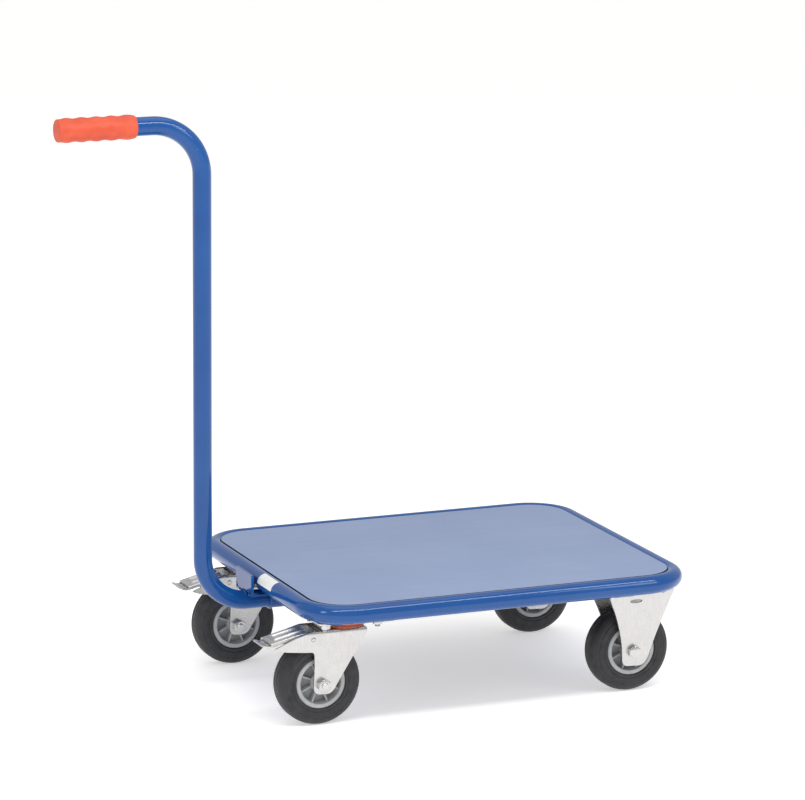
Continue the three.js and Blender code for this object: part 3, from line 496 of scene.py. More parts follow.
# Insets and levels are taken from the tube's centreline; the hollow edge follows
# an arc round it, and the top's rim is eased
board_low, board_high = box_mm("deck_board")
board_top, board_bottom = board_high[2] - frame_level, board_low[2] - frame_level
lip = frame_high[0] - TUBE_RADIUS - board_high[0]
bed_turn = np.linspace(math.acos(board_bottom / BED_RADIUS), math.asin(lip / BED_RADIUS), 14)
rim_turn = np.linspace(0, math.pi / 2, 4)
board_section = np.concatenate([
    BED_RADIUS * np.stack([np.sin(bed_turn), np.cos(bed_turn)], axis=-1),
    np.stack([lip + RIM_EASE * (1 - np.cos(rim_turn)), board_top - RIM_EASE * (1 - np.sin(rim_turn))], axis=-1),
    [[lip + 2 * RIM_EASE, board_top]],
])
centreline_size = (frame_high - frame_low)[:2] - 2 * TUBE_RADIUS
board_shell = bedded_panel(centreline_size, FRAME_CORNER - TUBE_RADIUS, board_section)
board_place = ((frame_low[0] + frame_high[0]) / 2, (frame_low[1] + frame_high[1]) / 2, frame_level)
panel = add_piece("deck_panel", moved(board_shell, board_place), laminate(), "frame", ["deck_board"])


# The hollowed edge and the underside are near black: on the edge this is partly painted shade for the shadowed gap
# against the tube, and the guessed dark underside darkens the board's shadow on the floor
edge_and_gap_shade_black = (0.010, 0.012, 0.020)
panel.data.materials.append(
    layered("near-black edge and painted gap shade", edge_and_gap_shade_black, edge_and_gap_shade_black, [], (6, 0.45, 0.65), (1.5, 0.03), IOR=1.45)
)
normals = np.empty(3 * len(panel.data.polygons), dtype=np.float32)
panel.data.polygons.foreach_get("normal", normals)
off_the_face = (normals.reshape(-1, 3)[:, 2] < 0.6).astype(np.int32)
panel.data.polygons.foreach_set("material_index", off_the_face)


# ---------------------------------------------------------------------------
# Crossbars
# Two hat-shaped bars of folded 3 mm sheet, coated with the frame. Their brims
# lie under the side tubes and over the caster plates; they carry the board.


def finish_node(node, material, edge):
    """A CAD node keeps its shape, gets the material, and has its edges eased."""
    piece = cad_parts[node]
    for place in piece.material_slots:
        place.material = material
    weld = piece.modifiers.new("closed seams", "WELD")
    weld.merge_threshold = 2e-6
    ease_edges(piece, edge, angle=28)


for crossbar in ("rear_crossbar", "front_crossbar"):
    finish_node(crossbar, blue_coat, 0.6)


def weld_bead(path, radius, count=10, ripple=0.18, pitch=2.2):
    """A weld: circles along a path, of radius r (1 + ripple cos(2 pi s / pitch)), to nothing at its ends."""
    step = np.linalg.norm(np.diff(path, axis=0), axis=1)
    along = np.concatenate([[0], np.cumsum(step)])
    size = radius * (1 + ripple * np.cos(2 * math.pi * along / pitch))
    size *= np.minimum(1, np.minimum(along, along[-1] - along) / radius + 0.02) ** 0.5
    tangent = np.gradient(path, axis=0)
    tangent /= np.linalg.norm(tangent, axis=1)[:, None]
    helper = np.where(np.abs(tangent[:, 2:3]) > 0.8, [[1.0, 0, 0]], [[0, 0, 1.0]])
    side = np.cross(tangent, helper)
    side /= np.linalg.norm(side, axis=1)[:, None]
    up = np.cross(side, tangent)
    ring = circle(1.0, count)
    points = path[:, None] + size[:, None, None] * (
        ring[None, :, 0, None] * side[:, None] + ring[None, :, 1, None] * up[:, None]
    )
    return capped(points)


# Welds join each brim to the straight part of the side tube's underside
for crossbar in ("rear_crossbar", "front_crossbar"):
    bar_low, bar_high = box_mm(crossbar)
    brim_top = frame_low[2] - 0.3
    straight_start = max(bar_low[0] + 6, frame_low[0] + FRAME_CORNER + 2)
    straight_end = min(bar_high[0] - 6, frame_high[0] - FRAME_CORNER - 2)
    for sign, label in ((-1, "right"), (1, "left")):
        brim_end = sign * (bar_high[1] + 0.2)
        x = np.linspace(straight_start, straight_end, 90)
        bead = weld_bead(np.stack([x, np.full(90, brim_end), np.full(90, brim_top)], axis=-1), 1.6)
        add_piece(f"{crossbar}_weld_{label}", bead, blue_coat, "frame")


# ---------------------------------------------------------------------------
# Handle
# One bent tube of the frame's size with a gooseneck: it runs level under the
# deck, rises behind it and turns back to the grip. A stop plate is welded on.

TOP_BEND = 74.0
LOW_BEND = 67.0
GRIP_REACH = 215.0
WALL = 2.0


def handle_line(low, high, post_x):
    """The centreline: level end inside the grip, quarter bend down, post, quarter bend forwards, level leg."""
    leg, top = low[2] + TUBE_RADIUS, high[2] - TUBE_RADIUS
    turn = np.linspace(0, math.pi / 2, 25)
    down = [post_x - TOP_BEND * (1 - np.sin(turn)), top - TOP_BEND * (1 - np.cos(turn))]
    forwards = [post_x + LOW_BEND * (1 - np.cos(turn)), leg + LOW_BEND * (1 - np.sin(turn))]
    bends = np.concatenate([np.stack(down, axis=-1), np.stack(forwards, axis=-1)])
    flat = np.concatenate([[[low[0], top]], bends, [[high[0], leg]]])
    path = np.stack([flat[:, 0], np.zeros(len(flat)), flat[:, 1]], axis=-1)
    down_way = np.stack([np.cos(turn), 0 * turn, -np.sin(turn)], axis=-1)
    forward_way = np.stack([np.sin(turn), 0 * turn, -np.cos(turn)], axis=-1)
    return path, np.concatenate([[[1.0, 0, 0]], down_way, forward_way, [[1.0, 0, 0]]])


def tube_wall(path, direction, outer, inner, count=56):
    """A tube with a bore: the outer surface along the path, then the inner one back, closed into a ring."""
    side = np.tile([0.0, 1.0, 0.0], (len(path), 1))
    up = np.cross(direction, side)
    outside = carried(path, side, up, circle(outer, count))
    inside = carried(path[::-1], side[::-1], up[::-1], circle(inner, count))
    points = np.concatenate([outside, inside])
    return points.reshape(-1, 3), grid_faces(2 * len(path), count, closed_rows=True, closed_columns=True)


handle_low, handle_high = box_mm("handle_tube")
grip_low, grip_high = box_mm("handle_grip")
post_x = grip_low[0] + GRIP_REACH
handle_path, handle_direction = handle_line(handle_low, handle_high, post_x)
handle_shell = tube_wall(handle_path, handle_direction, TUBE_RADIUS, TUBE_RADIUS - WALL)
add_piece("handle_pipe", handle_shell, blue_coat, "handle", ["handle_tube"])
finish_node("handle_stop_plate", blue_coat, 0.7)

# The stop plate's foot is welded round the top of the leg
stop_low, _ = box_mm("handle_stop_plate")
leg_level = handle_low[2] + TUBE_RADIUS
weld_reach = TUBE_RADIUS + 1.4
round_leg = np.linspace(math.radians(38), math.radians(142), 70)
for label, weld_x in (("rear", stop_low[0] - 0.4), ("front", stop_low[0] + 4.4)):
    weld_path = np.stack([
        np.full(70, weld_x), weld_reach * np.cos(round_leg), leg_level + weld_reach * np.sin(round_leg),
    ], axis=-1)
    add_piece(f"stop_plate_weld_{label}", weld_bead(weld_path, 1.7), blue_coat, "handle")


# ---------------------------------------------------------------------------
# Handle socket
# A short tube welded under the deck, with a rolled bead at its mouth, that
# takes the handle's lower leg. It has the frame's coating.


def turned(profile, count, closed=True):
    """Each profile point (r, h) taken round the Y axis: (r sin a, h, r cos a)."""
    profile = np.asarray(profile, float)
    angle = np.arange(count) * 2 * math.pi / count
    points = np.stack([
        profile[:, 0:1] * np.sin(angle), np.broadcast_to(profile[:, 1:2], (len(profile), count)),
        profile[:, 0:1] * np.cos(angle),
    ], axis=-1)
    return points.reshape(-1, 3), grid_faces(len(profile), count, closed_rows=closed, closed_columns=True)


def swapped(shell, order):
    """The shell with its axes taken in another order."""
    return shell[0][:, order], shell[1]


socket_low, socket_high = box_mm("handle_socket")
socket_radius = (socket_high[2] - socket_low[2]) / 2
bore = TUBE_RADIUS + 0.3
body_radius = bore + 1.8
length = socket_high[0] - socket_low[0]
bead = np.linspace(0, math.pi, 9)
socket_profile = np.concatenate([
    [[bore, 0], [body_radius, 0]],
    np.stack([body_radius + (socket_radius - body_radius) * np.sin(bead), 2.5 - 2.5 * np.cos(bead)], axis=-1)[1:],
    [[body_radius, length - 0.5], [body_radius - 0.5, length], [bore, length]],
])
socket_place = (socket_low[0], 0, (socket_low[2] + socket_high[2]) / 2)
socket_shell = moved(swapped(turned(socket_profile, 64), [1, 0, 2]), socket_place)
add_piece("socket_pipe", socket_shell, blue_coat, "frame", ["handle_socket"])


# ---------------------------------------------------------------------------
# Grip
# A moulded orange-red sleeve over the handle's end, closed at the tip, with
# soft waves along its length. Its skin is lightly grained.

WAVE_DEPTH = 1.4
WAVE_PITCH = 21.9


# Matt orange-red moulding: cloudy tone, a fine spark-eroded grain, handled gloss
grip_skin = layered(
    "orange-red moulding", (0.73, 0.106, 0.044), (0.62, 0.072, 0.030),
    [(clouds, {"Size": 26}, (0.73, 0.106, 0.044))], (12, 0.42, 0.58), (0.8, 0.03), IOR=1.46,
)
grip_length = grip_high[0] - grip_low[0]
grip_radius = (grip_high[2] - grip_low[2]) / 2
start_round = np.linspace(0, math.pi / 2, 7)
along_grip = np.linspace(2.4, grip_length, 130)
last_crest = grip_length - 13.0
dip = WAVE_DEPTH * (0.5 - 0.5 * np.cos(2 * math.pi * (along_grip - last_crest) / WAVE_PITCH))
to_mouth = np.clip((along_grip - last_crest) / 13.2, 0, 1)
dip = np.where(to_mouth > 0, 3.0 * (1 - np.sqrt(1 - to_mouth**2)), dip)
start_radius = grip_radius - dip[0]
outer_grip = np.concatenate([
    np.stack([start_radius - 2.4 + 2.4 * np.sin(start_round), 2.4 - 2.4 * np.cos(start_round)], axis=-1)[:-1],
    np.stack([grip_radius - dip, along_grip], axis=-1),
    [[TUBE_RADIUS + 0.3, grip_length]],
    [[TUBE_RADIUS + 0.3, 3.5], [0, 3.5]],
])
grip_profile = np.concatenate([[[0, 0]], outer_grip])
grip_shell = swapped(turned(grip_profile, 72, closed=False), [1, 0, 2])
grip_shell = moved(grip_shell, (grip_low[0], 0, (grip_low[2] + grip_high[2]) / 2))
add_piece("grip_sleeve", grip_shell, grip_skin, "handle", ["handle_grip"])


# ---------------------------------------------------------------------------
# Caster plates and their fixings
# Zinc-plated 3 mm plates, bolted under the crossbars with M8 studs and nuts.
# The studs' flat heads lie on the brims, and the nuts are below the plates.


def bright_zinc(name, low, high, painted_band_stretch, gloss_low, gloss_high):
    """Zinc plating over pale metal: noise drawn out along Z by painted_band_stretch, which paints vertical reflection
    bands, then darker cloudy patches, cloudy gloss and a very fine bump.
    """
    return layered(name, high, low, [
        (streaks, {"Size": 4, "Along_Z": painted_band_stretch}, high),
        (clouds, {"Size": 18, "Low": 0, "High": 0.25}, (0.49, 0.495, 0.51)),
    ], (10, gloss_low, gloss_high), (0.7, 0.008), Metallic=0.85, IOR=2.0)


# On pressed sheet the colour is drawn into vertical stripes: painted reflection bands
pressed_zinc = bright_zinc("bright zinc on pressed sheet", (0.53, 0.520, 0.51), (0.64, 0.630, 0.62), 6, 0.22, 0.34)
turned_zinc = bright_zinc("bright zinc on turned steel", (0.52, 0.52, 0.51), (0.66, 0.66, 0.65), 1, 0.16, 0.30)

HOLE = 4.5
NUT_FLATS = 13.0


def around_z(radius, angle, level):
    """Points round Z: one ring for each row of radius, at that row's level."""
    height = np.broadcast_to(level[:, None], radius.shape)
    return np.stack([radius * np.cos(angle), radius * np.sin(angle), height], axis=-1)


def hex_solid(flats, low, high, hole, count=72):
    """A hexagon along Z: radius flats / 2 / cos(a), held to a limit that grows over both chamfers."""
    angle = np.arange(count) * 2 * math.pi / count
    to_flat = (angle + math.pi / 6) % (math.pi / 3) - math.pi / 6
    hexagon = flats / 2 / np.cos(to_flat)
    corner = flats / math.sqrt(3)
    face = 0.475 * flats
    grow = np.linspace(0, 1, 6)
    slope = 0.55 * (corner - face)
    limit = np.concatenate([face + grow * (corner - face), (face + grow * (corner - face))[::-1]])
    level = np.concatenate([low + grow * slope, (high - grow * slope)[::-1]])
    radius = np.minimum(hexagon[None], limit[:, None])
    radius = np.concatenate([np.full((1, count), hole), radius, np.full((1, count), hole)])
    level = np.concatenate([[low], level, [high]])
    faces = grid_faces(len(level), count, closed_rows=hole > 0, closed_columns=True)
    return around_z(radius, angle, level).reshape(-1, 3), faces


def threaded_end(radius, pitch, low, high, count=30):
    """A screw thread along Z: radius - depth (0.5 - 0.5 cos(2 pi h / pitch - a)), with a chamfered end at low."""
    rows = max(6, int((high - low) / pitch * 8))
    level = np.linspace(low, high, rows)
    angle = np.arange(count) * 2 * math.pi / count
    wave_in = 0.5 - 0.5 * np.cos(2 * math.pi * level[:, None] / pitch - angle[None])
    size = radius - 0.6 * pitch * wave_in
    size = np.minimum(size, radius - 0.9 + np.minimum(level - low, 0.9)[:, None])
    return capped(around_z(size, angle, level))


def disc(outer, inner, low, high, edge=0.3, count=48):
    """A flat ring along Z with eased edges."""
    profile = softened([[inner, low], [outer, low], [outer, high], [inner, high]], edge, 2)
    return swapped(turned(profile, count), [0, 2, 1])


def stud_and_nut(head_low, head_high, plate_low, nut_low, end):
    """Flat head, plain shank, nut and thread of one stud, about its own axis."""
    nut_high = plate_low - 0.3
    return joined(
        disc(7.0, 0.01, head_low, head_high, 0.6),
        rod(2, 4.0, nut_high - 1, head_low + 0.5),
        threaded_end(4.0, 1.25, end, nut_high - 1),
        hex_solid(NUT_FLATS, nut_low, nut_high - 0.9, 3.6),
        disc(7.6, 3.9, nut_high - 1.0, nut_high, 0.15),
    )


plate_low, plate_high = box_mm("top_plate_rear_right")
bolt_low, bolt_high = box_mm("plate_bolt_rear_right_1")
head_low = frame_low[2]
nut_low = plate_low[2] - 0.3 - 6.5
stud_shell = stud_and_nut(head_low, bolt_high[2], plate_low[2], nut_low, bolt_low[2])

plate_outline = rounded_rectangle(plate_high[0] - plate_low[0], plate_high[1] - plate_low[1], 8.0, 8)
for tag in ("rear_right", "rear_left"):
    centres = []
    for number in (1, 2, 3, 4):
        low, high = box_mm(f"plate_bolt_{tag}_{number}")
        centres.append((low + high)[:2] / 2)
        shell = moved(stud_shell, (*centres[-1], 0))
        add_piece(f"stud_{tag}_{number}", shell, turned_zinc, "frame", [f"plate_bolt_{tag}_{number}"])
    low, high = box_mm(f"top_plate_{tag}")
    middle = (low + high) / 2
    holes = [circle(HOLE, 24) + centre - middle[:2] for centre in centres] + [circle(6.3, 40)]
    plate_shell = moved(flat_plate(plate_outline, holes, high[2] - low[2], 0.5), (middle[0], middle[1], low[2]))
    add_piece(f"mounting_plate_{tag}", plate_shell, pressed_zinc, "frame", [f"top_plate_{tag}"])


# ---------------------------------------------------------------------------
# Swivel heads
# A riveted kingpin holds each fork under its plate on a ball race, and an
# orange-red moulded ring seals the race from dust.


# Moulded seal: the grip's colour, deeper and a little greasy
seal_skin = layered(
    "moulded dust seal", (0.50, 0.105, 0.050), (0.34, 0.060, 0.030),
    [(clouds, {"Size": 9}, (0.50, 0.105, 0.050))], (6, 0.32, 0.5), (0.6, 0.02), IOR=1.46,
)
for tag in ("rear_right", "rear_left"):
    low, high = box_mm(f"swivel_seal_{tag}")
    centre = (low + high) / 2
    outer = (high[1] - low[1]) / 2
    height = high[2] - low[2]
    seal_profile = softened([
        [26.0, 0], [outer - 0.4, 0], [outer, 1.6], [outer - 1.2, 4.2], [outer - 1.2, 5.4], [outer - 0.2, height - 1.6],
        [outer - 1.2, height], [26.0, height],
    ], 0.7, 3)
    shell = moved(swapped(turned(seal_profile, 72), [0, 2, 1]), (centre[0], centre[1], low[2]))
    add_piece(f"dust_ring_{tag}", shell, seal_skin, "frame", [f"swivel_seal_{tag}"])
    finish_node(f"ball_race_{tag}", turned_zinc, 0.5)

    low, high = box_mm(f"kingpin_{tag}")
    head_top = low[2] + 5.0
    pin_profile = softened([
        [0, low[2]], [7.0, low[2]], [11.0, low[2] + 3.0], [11.0, head_top], [6.0, head_top], [6.0, high[2]],
        [0, high[2]],
    ], [0, 3, 1.5, 0.4, 0.2, 0.5, 0], 4, closed=False)
    shell = moved(swapped(turned(pin_profile, 48, closed=False), [0, 2, 1]), (centre[0], centre[1], 0))
    add_piece(f"rivet_{tag}", shell, turned_zinc, "frame", [f"kingpin_{tag}"])


# ---------------------------------------------------------------------------
# Forks
# Each fork is one pressing of 3 mm sheet, zinc plated: a crown over the wheel
# that folds down into two cheeks, with a horn towards the brake.

CHEEK_INNER = 23.0
CHEEK_OUTER = 26.0
TRAIL = 41.0
PIN_X, PIN_Z = -14.5, 67.1


def block(low, high):
    """A box between two corners."""
    return prism([[low[0], low[1]], [high[0], low[1]], [high[0], high[1]], [low[0], high[1]]], 2, low[2], high[2])


def fork_shell(crown):
    """A U with round bends carried along X, met with the cheeks' outline carried along Y, then bored."""
    fold = softened([
        [-CHEEK_OUTER, -30], [-CHEEK_OUTER, crown], [CHEEK_OUTER, crown], [CHEEK_OUTER, -30],
        [CHEEK_INNER, -30], [CHEEK_INNER, crown - 3], [-CHEEK_INNER, crown - 3], [-CHEEK_INNER, -30],
    ], [0, 5.5, 5.5, 0, 0, 2.5, 2.5, 0], 7)
    front = TRAIL + 22
    outline = softened([
        [-13.3, crown - 30.5], [-12.5, 30], [-14.2, -13.6], [13.0, -14.6], [front + 4.2, crown - 6.0],
        [front + 4.0, crown], [-14.0, crown + 0.4], [-22, crown - 2.5], [-42, crown - 8.4], [-73, crown - 21],
        [-58, crown - 26.2], [-26, crown - 29.8],
    ], [5, 6, 11, 9, 6, 8, 8, 8, 12, 2.5, 6, 3], 8)
    shell = combined(prism(fold, 0, -90, 90), prism(outline, 1, -40, 40), "INTERSECT")
    shell = combined(shell, block((-95, -22.9, -40), (front - 62, 22.9, 95)), "DIFFERENCE")
    shell = combined(shell, moved(rod(2, 6.3, crown - 6, crown + 3), (TRAIL, 0, 0)), "DIFFERENCE")
    shell = combined(shell, rod(1, 5.3, -40, 40), "DIFFERENCE")
    return combined(shell, moved(rod(1, 3.3, -40, 40), (PIN_X, 0, PIN_Z)), "DIFFERENCE")


def axle_of(tag):
    """The middle of the wheel's axle."""
    low, high = box_mm(f"tyre_{tag}")
    return (low + high) / 2


_, fork_high = box_mm("fork_rear_right")
crown_level = fork_high[2] - axle_of("rear_right")[2]
one_fork = fork_shell(crown_level)
for tag in ("rear_right", "rear_left"):
    piece = add_piece(
        f"pressed_fork_{tag}", moved(one_fork, axle_of(tag)), pressed_zinc, f"swivel_{tag}", [f"fork_{tag}"],
        crease=30,
    )
    ease_edges(piece, 0.55, 3, 40)


# ---------------------------------------------------------------------------
# Fixed brackets
# The front casters' brackets are pressed from the same sheet: two legs taper to
# the axle and flare out to a flat plate that is bolted under the crossbar.

PLATE_LEAD = 6.0
FLARE = 14.0
FLARE_START = 12.0


def bracket_shell(top):
    """The flared fold carried along X, met with the legs' outline carried along Y, then bored."""
    flared = CHEEK_INNER + FLARE
    fold = softened([
        [-CHEEK_OUTER, -30], [-CHEEK_INNER, -30], [-CHEEK_INNER, FLARE_START], [-flared, top - 3], [flared, top - 3],
        [CHEEK_INNER, FLARE_START], [CHEEK_INNER, -30], [CHEEK_OUTER, -30], [CHEEK_OUTER, FLARE_START],
        [flared + 3, top - 2.2], [flared + 3, top - 0.2], [-flared - 3, top - 0.2], [-flared - 3, top - 2.2],
        [-CHEEK_OUTER, FLARE_START],
    ], [0, 0, 22, 2, 2, 22, 0, 0, 22, 2, 0, 0, 2, 22], 8)
    plate_end = 50.5
    outline = softened([
        [-17.4, -20.8], [14.5, -22.2], [23.0, -12.0], [PLATE_LEAD + 35.5, 46], [PLATE_LEAD + 48, top - 9],
        [PLATE_LEAD + plate_end, top - 3], [PLATE_LEAD + plate_end, top + 1], [PLATE_LEAD - plate_end, top + 1],
        [PLATE_LEAD - plate_end, top - 7], [-30, 51], [-19, 14.5],
    ], [9, 8, 7, 20, 8, 3, 0, 0, 8, 20, 20], 8)
    shell = combined(prism(fold, 0, -90, 90), prism(outline, 1, -60, 60), "INTERSECT")
    eye = circle(1, 40) * [10, 3]
    shell = combined(shell, moved(prism(eye, 1, -60, 60), (-3, 0, top - 13.3)), "DIFFERENCE")
    return combined(shell, rod(1, 5.3, -40, 40), "DIFFERENCE")


_, bracket_high = box_mm("fixed_bracket_front_right")
bracket_top = bracket_high[2] - axle_of("front_right")[2]
one_bracket = bracket_shell(bracket_top - 0.3)
corner_places = np.array([[-40, -30], [40, -30], [40, 30], [-40, 30]], float)
base_holes = [circle(HOLE, 24) + place for place in corner_places]
one_base = flat_plate(plate_outline, base_holes, 3.0, 0.5)
for tag in ("front_right", "front_left"):
    axle = axle_of(tag)
    piece = add_piece(
        f"pressed_bracket_{tag}", moved(one_bracket, axle), pressed_zinc, "frame", [f"fixed_bracket_{tag}"],
        crease=30,
    )
    ease_edges(piece, 0.55, 3, 40)
    base_place = (axle[0] + PLATE_LEAD, axle[1], bracket_high[2] - 3.0)
    add_piece(f"bracket_base_{tag}", moved(one_base, base_place), pressed_zinc, "frame")
    for number, place in enumerate(corner_places, 1):
        nearer = place[1] - 0.5 * np.sign(place[1])
        shell = moved(swapped(stud_shell, [1, 0, 2]), (axle[0] + PLATE_LEAD + place[0], axle[1] + nearer, 0))
        add_piece(f"stud_{tag}_{number}", shell, turned_zinc, "frame")


# ---------------------------------------------------------------------------
# Axles
# A zinc-plated M10 bolt goes through each pair of cheeks and a spacer tube, and
# a hexagon nut holds it on the far side.

AXLE_FLATS = 17.0
axle_seat = CHEEK_OUTER + 0.3


def along_y(shell, sign):
    """A shell made along Z laid along Y, its +Z end towards sign."""
    points = shell[0]
    return np.stack([points[:, 0], sign * points[:, 2], points[:, 1]], axis=-1), shell[1]


bolt_form = joined(
    hex_solid(AXLE_FLATS, axle_seat + 0.3, axle_seat + 6.4, 0.0),
    disc(8.3, 0.01, axle_seat, axle_seat + 0.5, 0.1),
    rod(2, 5.0, -axle_seat - 7, axle_seat + 0.3),
    threaded_end(5.0, 1.5, -axle_seat - 11, -axle_seat - 6.5),
)
nut_form = hex_solid(AXLE_FLATS, -axle_seat - 8, -axle_seat, 4.95)
spacer_form = disc(7.5, 5.3, -CHEEK_INNER + 0.3, CHEEK_INNER - 0.3)
for tag, body, sign in (
    ("rear_right", "swivel_rear_right", 1), ("rear_left", "swivel_rear_left", 1),
    ("front_right", "frame", -1), ("front_left", "frame", -1),
):
    axle = axle_of(tag)
    for name, form, node in (
        ("axle_screw", bolt_form, "axle_bolt"), ("axle_hexagon", nut_form, "axle_nut"),
        ("axle_tube", spacer_form, "axle_spacer"),
    ):
        shell = moved(along_y(form, sign), axle)
        add_piece(f"{name}_{tag}", shell, turned_zinc, body, [f"{node}_{tag}"])


# ---------------------------------------------------------------------------
# Tyres
# Solid black rubber rings, moulded with stepped sidewalls, a rounded shoulder
# and fine mould lines, pressed onto the wheel centres.


tyre_low, tyre_high = box_mm("tyre_rear_right")
tyre_radius = (tyre_high[2] - tyre_low[2]) / 2
tyre_half = (tyre_high[1] - tyre_low[1]) / 2
seat = 37.3
half_tyre = np.array([
    [seat, tyre_half - 0.9], [seat + 1.0, tyre_half], [seat + 4.2, tyre_half], [seat + 4.8, tyre_half - 0.7],
    [seat + 5.6, tyre_half - 0.7], [seat + 6.2, tyre_half], [tyre_radius - 12.2, tyre_half],
    [tyre_radius - 11.4, tyre_half - 1.1], [tyre_radius - 10.2, tyre_half - 1.1], [tyre_radius - 9.0, tyre_half - 1.0],
    [tyre_radius - 4.6, tyre_half - 3.0], [tyre_radius - 1.0, tyre_half - 7.4], [tyre_radius, tyre_half - 12.5],
])
half_soft = np.array([0.4, 0.8, 0.4, 0.3, 0.3, 0.4, 0.5, 0.4, 0.4, 2.5, 3.5, 4.0, 3.0])
groove = np.array([[tyre_radius, 5.2], [tyre_radius - 1.0, 4.9], [tyre_radius - 1.0, 3.9], [tyre_radius, 3.6]])
half_tyre = np.concatenate([half_tyre, groove])
half_soft = np.concatenate([half_soft, [0.15, 0.15, 0.15, 0.15]])
other_half = half_tyre[::-1] * [1, -1]
tyre_profile = softened(np.concatenate([half_tyre, other_half]), np.concatenate([half_soft, half_soft[::-1]]), 4)
tyre_form = turned(tyre_profile, 112)
# Matt black rubber: a grey bloom in clouds, a fine grain
rubber_skin = layered(
    "solid black rubber", (0.014, 0.014, 0.016), (0.014, 0.014, 0.016),
    [(clouds, {"Size": 14}, (0.030, 0.030, 0.034))], (8, 0.48, 0.66), (1.1, 0.03), IOR=1.5,
)


# ---------------------------------------------------------------------------
# Wheel centres
# Grey moulded plastic: a rim ring, a dished web and a hub joined by eight thin
# ribs on each side. They turn on the spacer tubes.


rim_outer, rim_half, rim_lip = 37.0, 18.0, 6.5
hub, hub_half, hub_bore = 13.5, 21.0, 7.75
half_rim = np.array([
    [hub_bore, hub_half], [hub - 0.6, hub_half], [hub, 2.5], [rim_outer - rim_lip - 1.6, 2.5],
    [rim_outer - rim_lip, rim_half - 1.0], [rim_outer - rim_lip + 1.0, rim_half], [rim_outer - 1.8, rim_half],
    [rim_outer, rim_half - 1.0],
])
rim_soft = np.array([0.5, 1.0, 1.5, 3.0, 0.6, 0.5, 0.8, 0.5])
rim_profile = softened(
    np.concatenate([half_rim, half_rim[::-1] * [1, -1]]), np.concatenate([rim_soft, rim_soft[::-1]]), 4,
)
rib_start, rib_end = hub - 1.5, rim_outer - rim_lip + 0.8
rib_outline = [[rib_start, -12.0], [rib_end, -14.0], [rib_end, 14.0], [rib_start, 12.0]]
rib = moved(flat_plate(softened(rib_outline, 1.0, 3), [], 2.4, 0.5), (0, 0, -1.2))
rib_parts = []
for number in range(8):
    angle = (number + 0.5) * math.pi / 4
    points = rib[0]
    spun = np.stack([
        points[:, 0] * math.cos(angle) + points[:, 2] * math.sin(angle), points[:, 1],
        -points[:, 0] * math.sin(angle) + points[:, 2] * math.cos(angle),
    ], axis=-1)
    rib_parts.append((spun, rib[1]))
rim_form = joined(turned(rim_profile, 96), *rib_parts)
# Semi-matt grey moulding: cloudy tone and a fine flow grain
rim_skin = layered(
    "grey moulding", (0.46, 0.465, 0.47), (0.36, 0.37, 0.38), [
        (clouds, {"Size": 18}, (0.46, 0.465, 0.47)),
        (specks, {"Spacing": 3, "Share": 0.25, "Size": 0.12}, (0.30, 0.31, 0.32)),
    ], (7, 0.36, 0.52), (0.8, 0.015), IOR=1.46,
)

for tag in ("rear_right", "rear_left", "front_right", "front_left"):
    axle = axle_of(tag)
    add_piece(f"rubber_ring_{tag}", moved(tyre_form, axle), rubber_skin, f"wheel_{tag}", [f"tyre_{tag}"])
    add_piece(f"wheel_centre_{tag}", moved(rim_form, axle), rim_skin, f"wheel_{tag}", [f"rim_{tag}"])


# ---------------------------------------------------------------------------
# Brakes
# A pressed pedal hangs on a pin through each fork's horn, with a release tab
# under its tip and a shoe between its ears, clear of the tread.

PEDAL_HALF = 21.0
PEDAL_SHEET = 2.5


def even_line(corners, radius, count):
    """A softened open polyline sampled at equal steps along its length."""
    line = softened(corners, radius, 8, closed=False)
    along = np.concatenate([[0], np.cumsum(np.linalg.norm(np.diff(line, axis=0), axis=1))])
    at = np.linspace(0, along[-1], count)
    return np.stack([np.interp(at, along, line[:, 0]), np.interp(at, along, line[:, 1])], axis=-1)


def raised_rib(x, y, first_x, last_x, rib_y, width, height):
    """A raised U: ribs at +-rib_y from first_x to last_x, joined at last_x, smooth over the width."""
    outside = np.maximum(0, np.maximum(x - first_x, last_x - x))
    to_sides = np.hypot(np.abs(np.abs(y) - rib_y), outside)
    to_end = np.hypot(x - last_x, np.maximum(0, np.abs(y) - rib_y))
    near = np.clip(1 - np.minimum(to_sides, to_end) / width, 0, 1)
    return height * near * near * (3 - 2 * near)


def pedal_shell(crown):
    """A sloping line carried across the width, turned down at both sides, with a raised U pressed into it."""
    top = crown - 1.4
    line = even_line([[-9, top], [-22.5, top], [-46, top - 5], [-76.5, crown - 13.8]], 9, 66)
    across = np.linspace(-PEDAL_HALF + 2.2, PEDAL_HALF - 2.2, 61)
    turn = np.linspace(0, math.pi / 2, 6)
    side_y = PEDAL_HALF - 2.2 + 2.2 * np.sin(turn)
    side_z = 2.2 * (np.cos(turn) - 1)
    depth = np.interp(-line[:, 0], [9, 20, 32, 50, 66, 76.5], [14.2, 14.2, 9, 4.6, 2.3, 1.2])
    x = np.broadcast_to(line[:, 0:1], (len(line), len(across)))
    y = np.broadcast_to(across[None], x.shape)
    z = line[:, 1:2] + raised_rib(x, y, -25, -67, 9.0, 3.6, 2.6)
    flat = np.stack([x, y, z], axis=-1)
    sides = []
    for sign in (-1, 1):
        bend = np.stack([
            np.broadcast_to(line[:, 0:1], (len(line), 6)), np.broadcast_to(sign * side_y[None], (len(line), 6)),
            line[:, 1:2] + side_z[None],
        ], axis=-1)[:, 1:]
        foot = np.stack([line[:, 0], np.full(len(line), sign * PEDAL_HALF), line[:, 1] - 2.2 - depth], axis=-1)
        sides.append(np.concatenate([bend, foot[:, None]], axis=1))
    whole = np.concatenate([sides[0][:, ::-1], flat, sides[1]], axis=1)
    return whole.reshape(-1, 3), grid_faces(whole.shape[0], whole.shape[1])


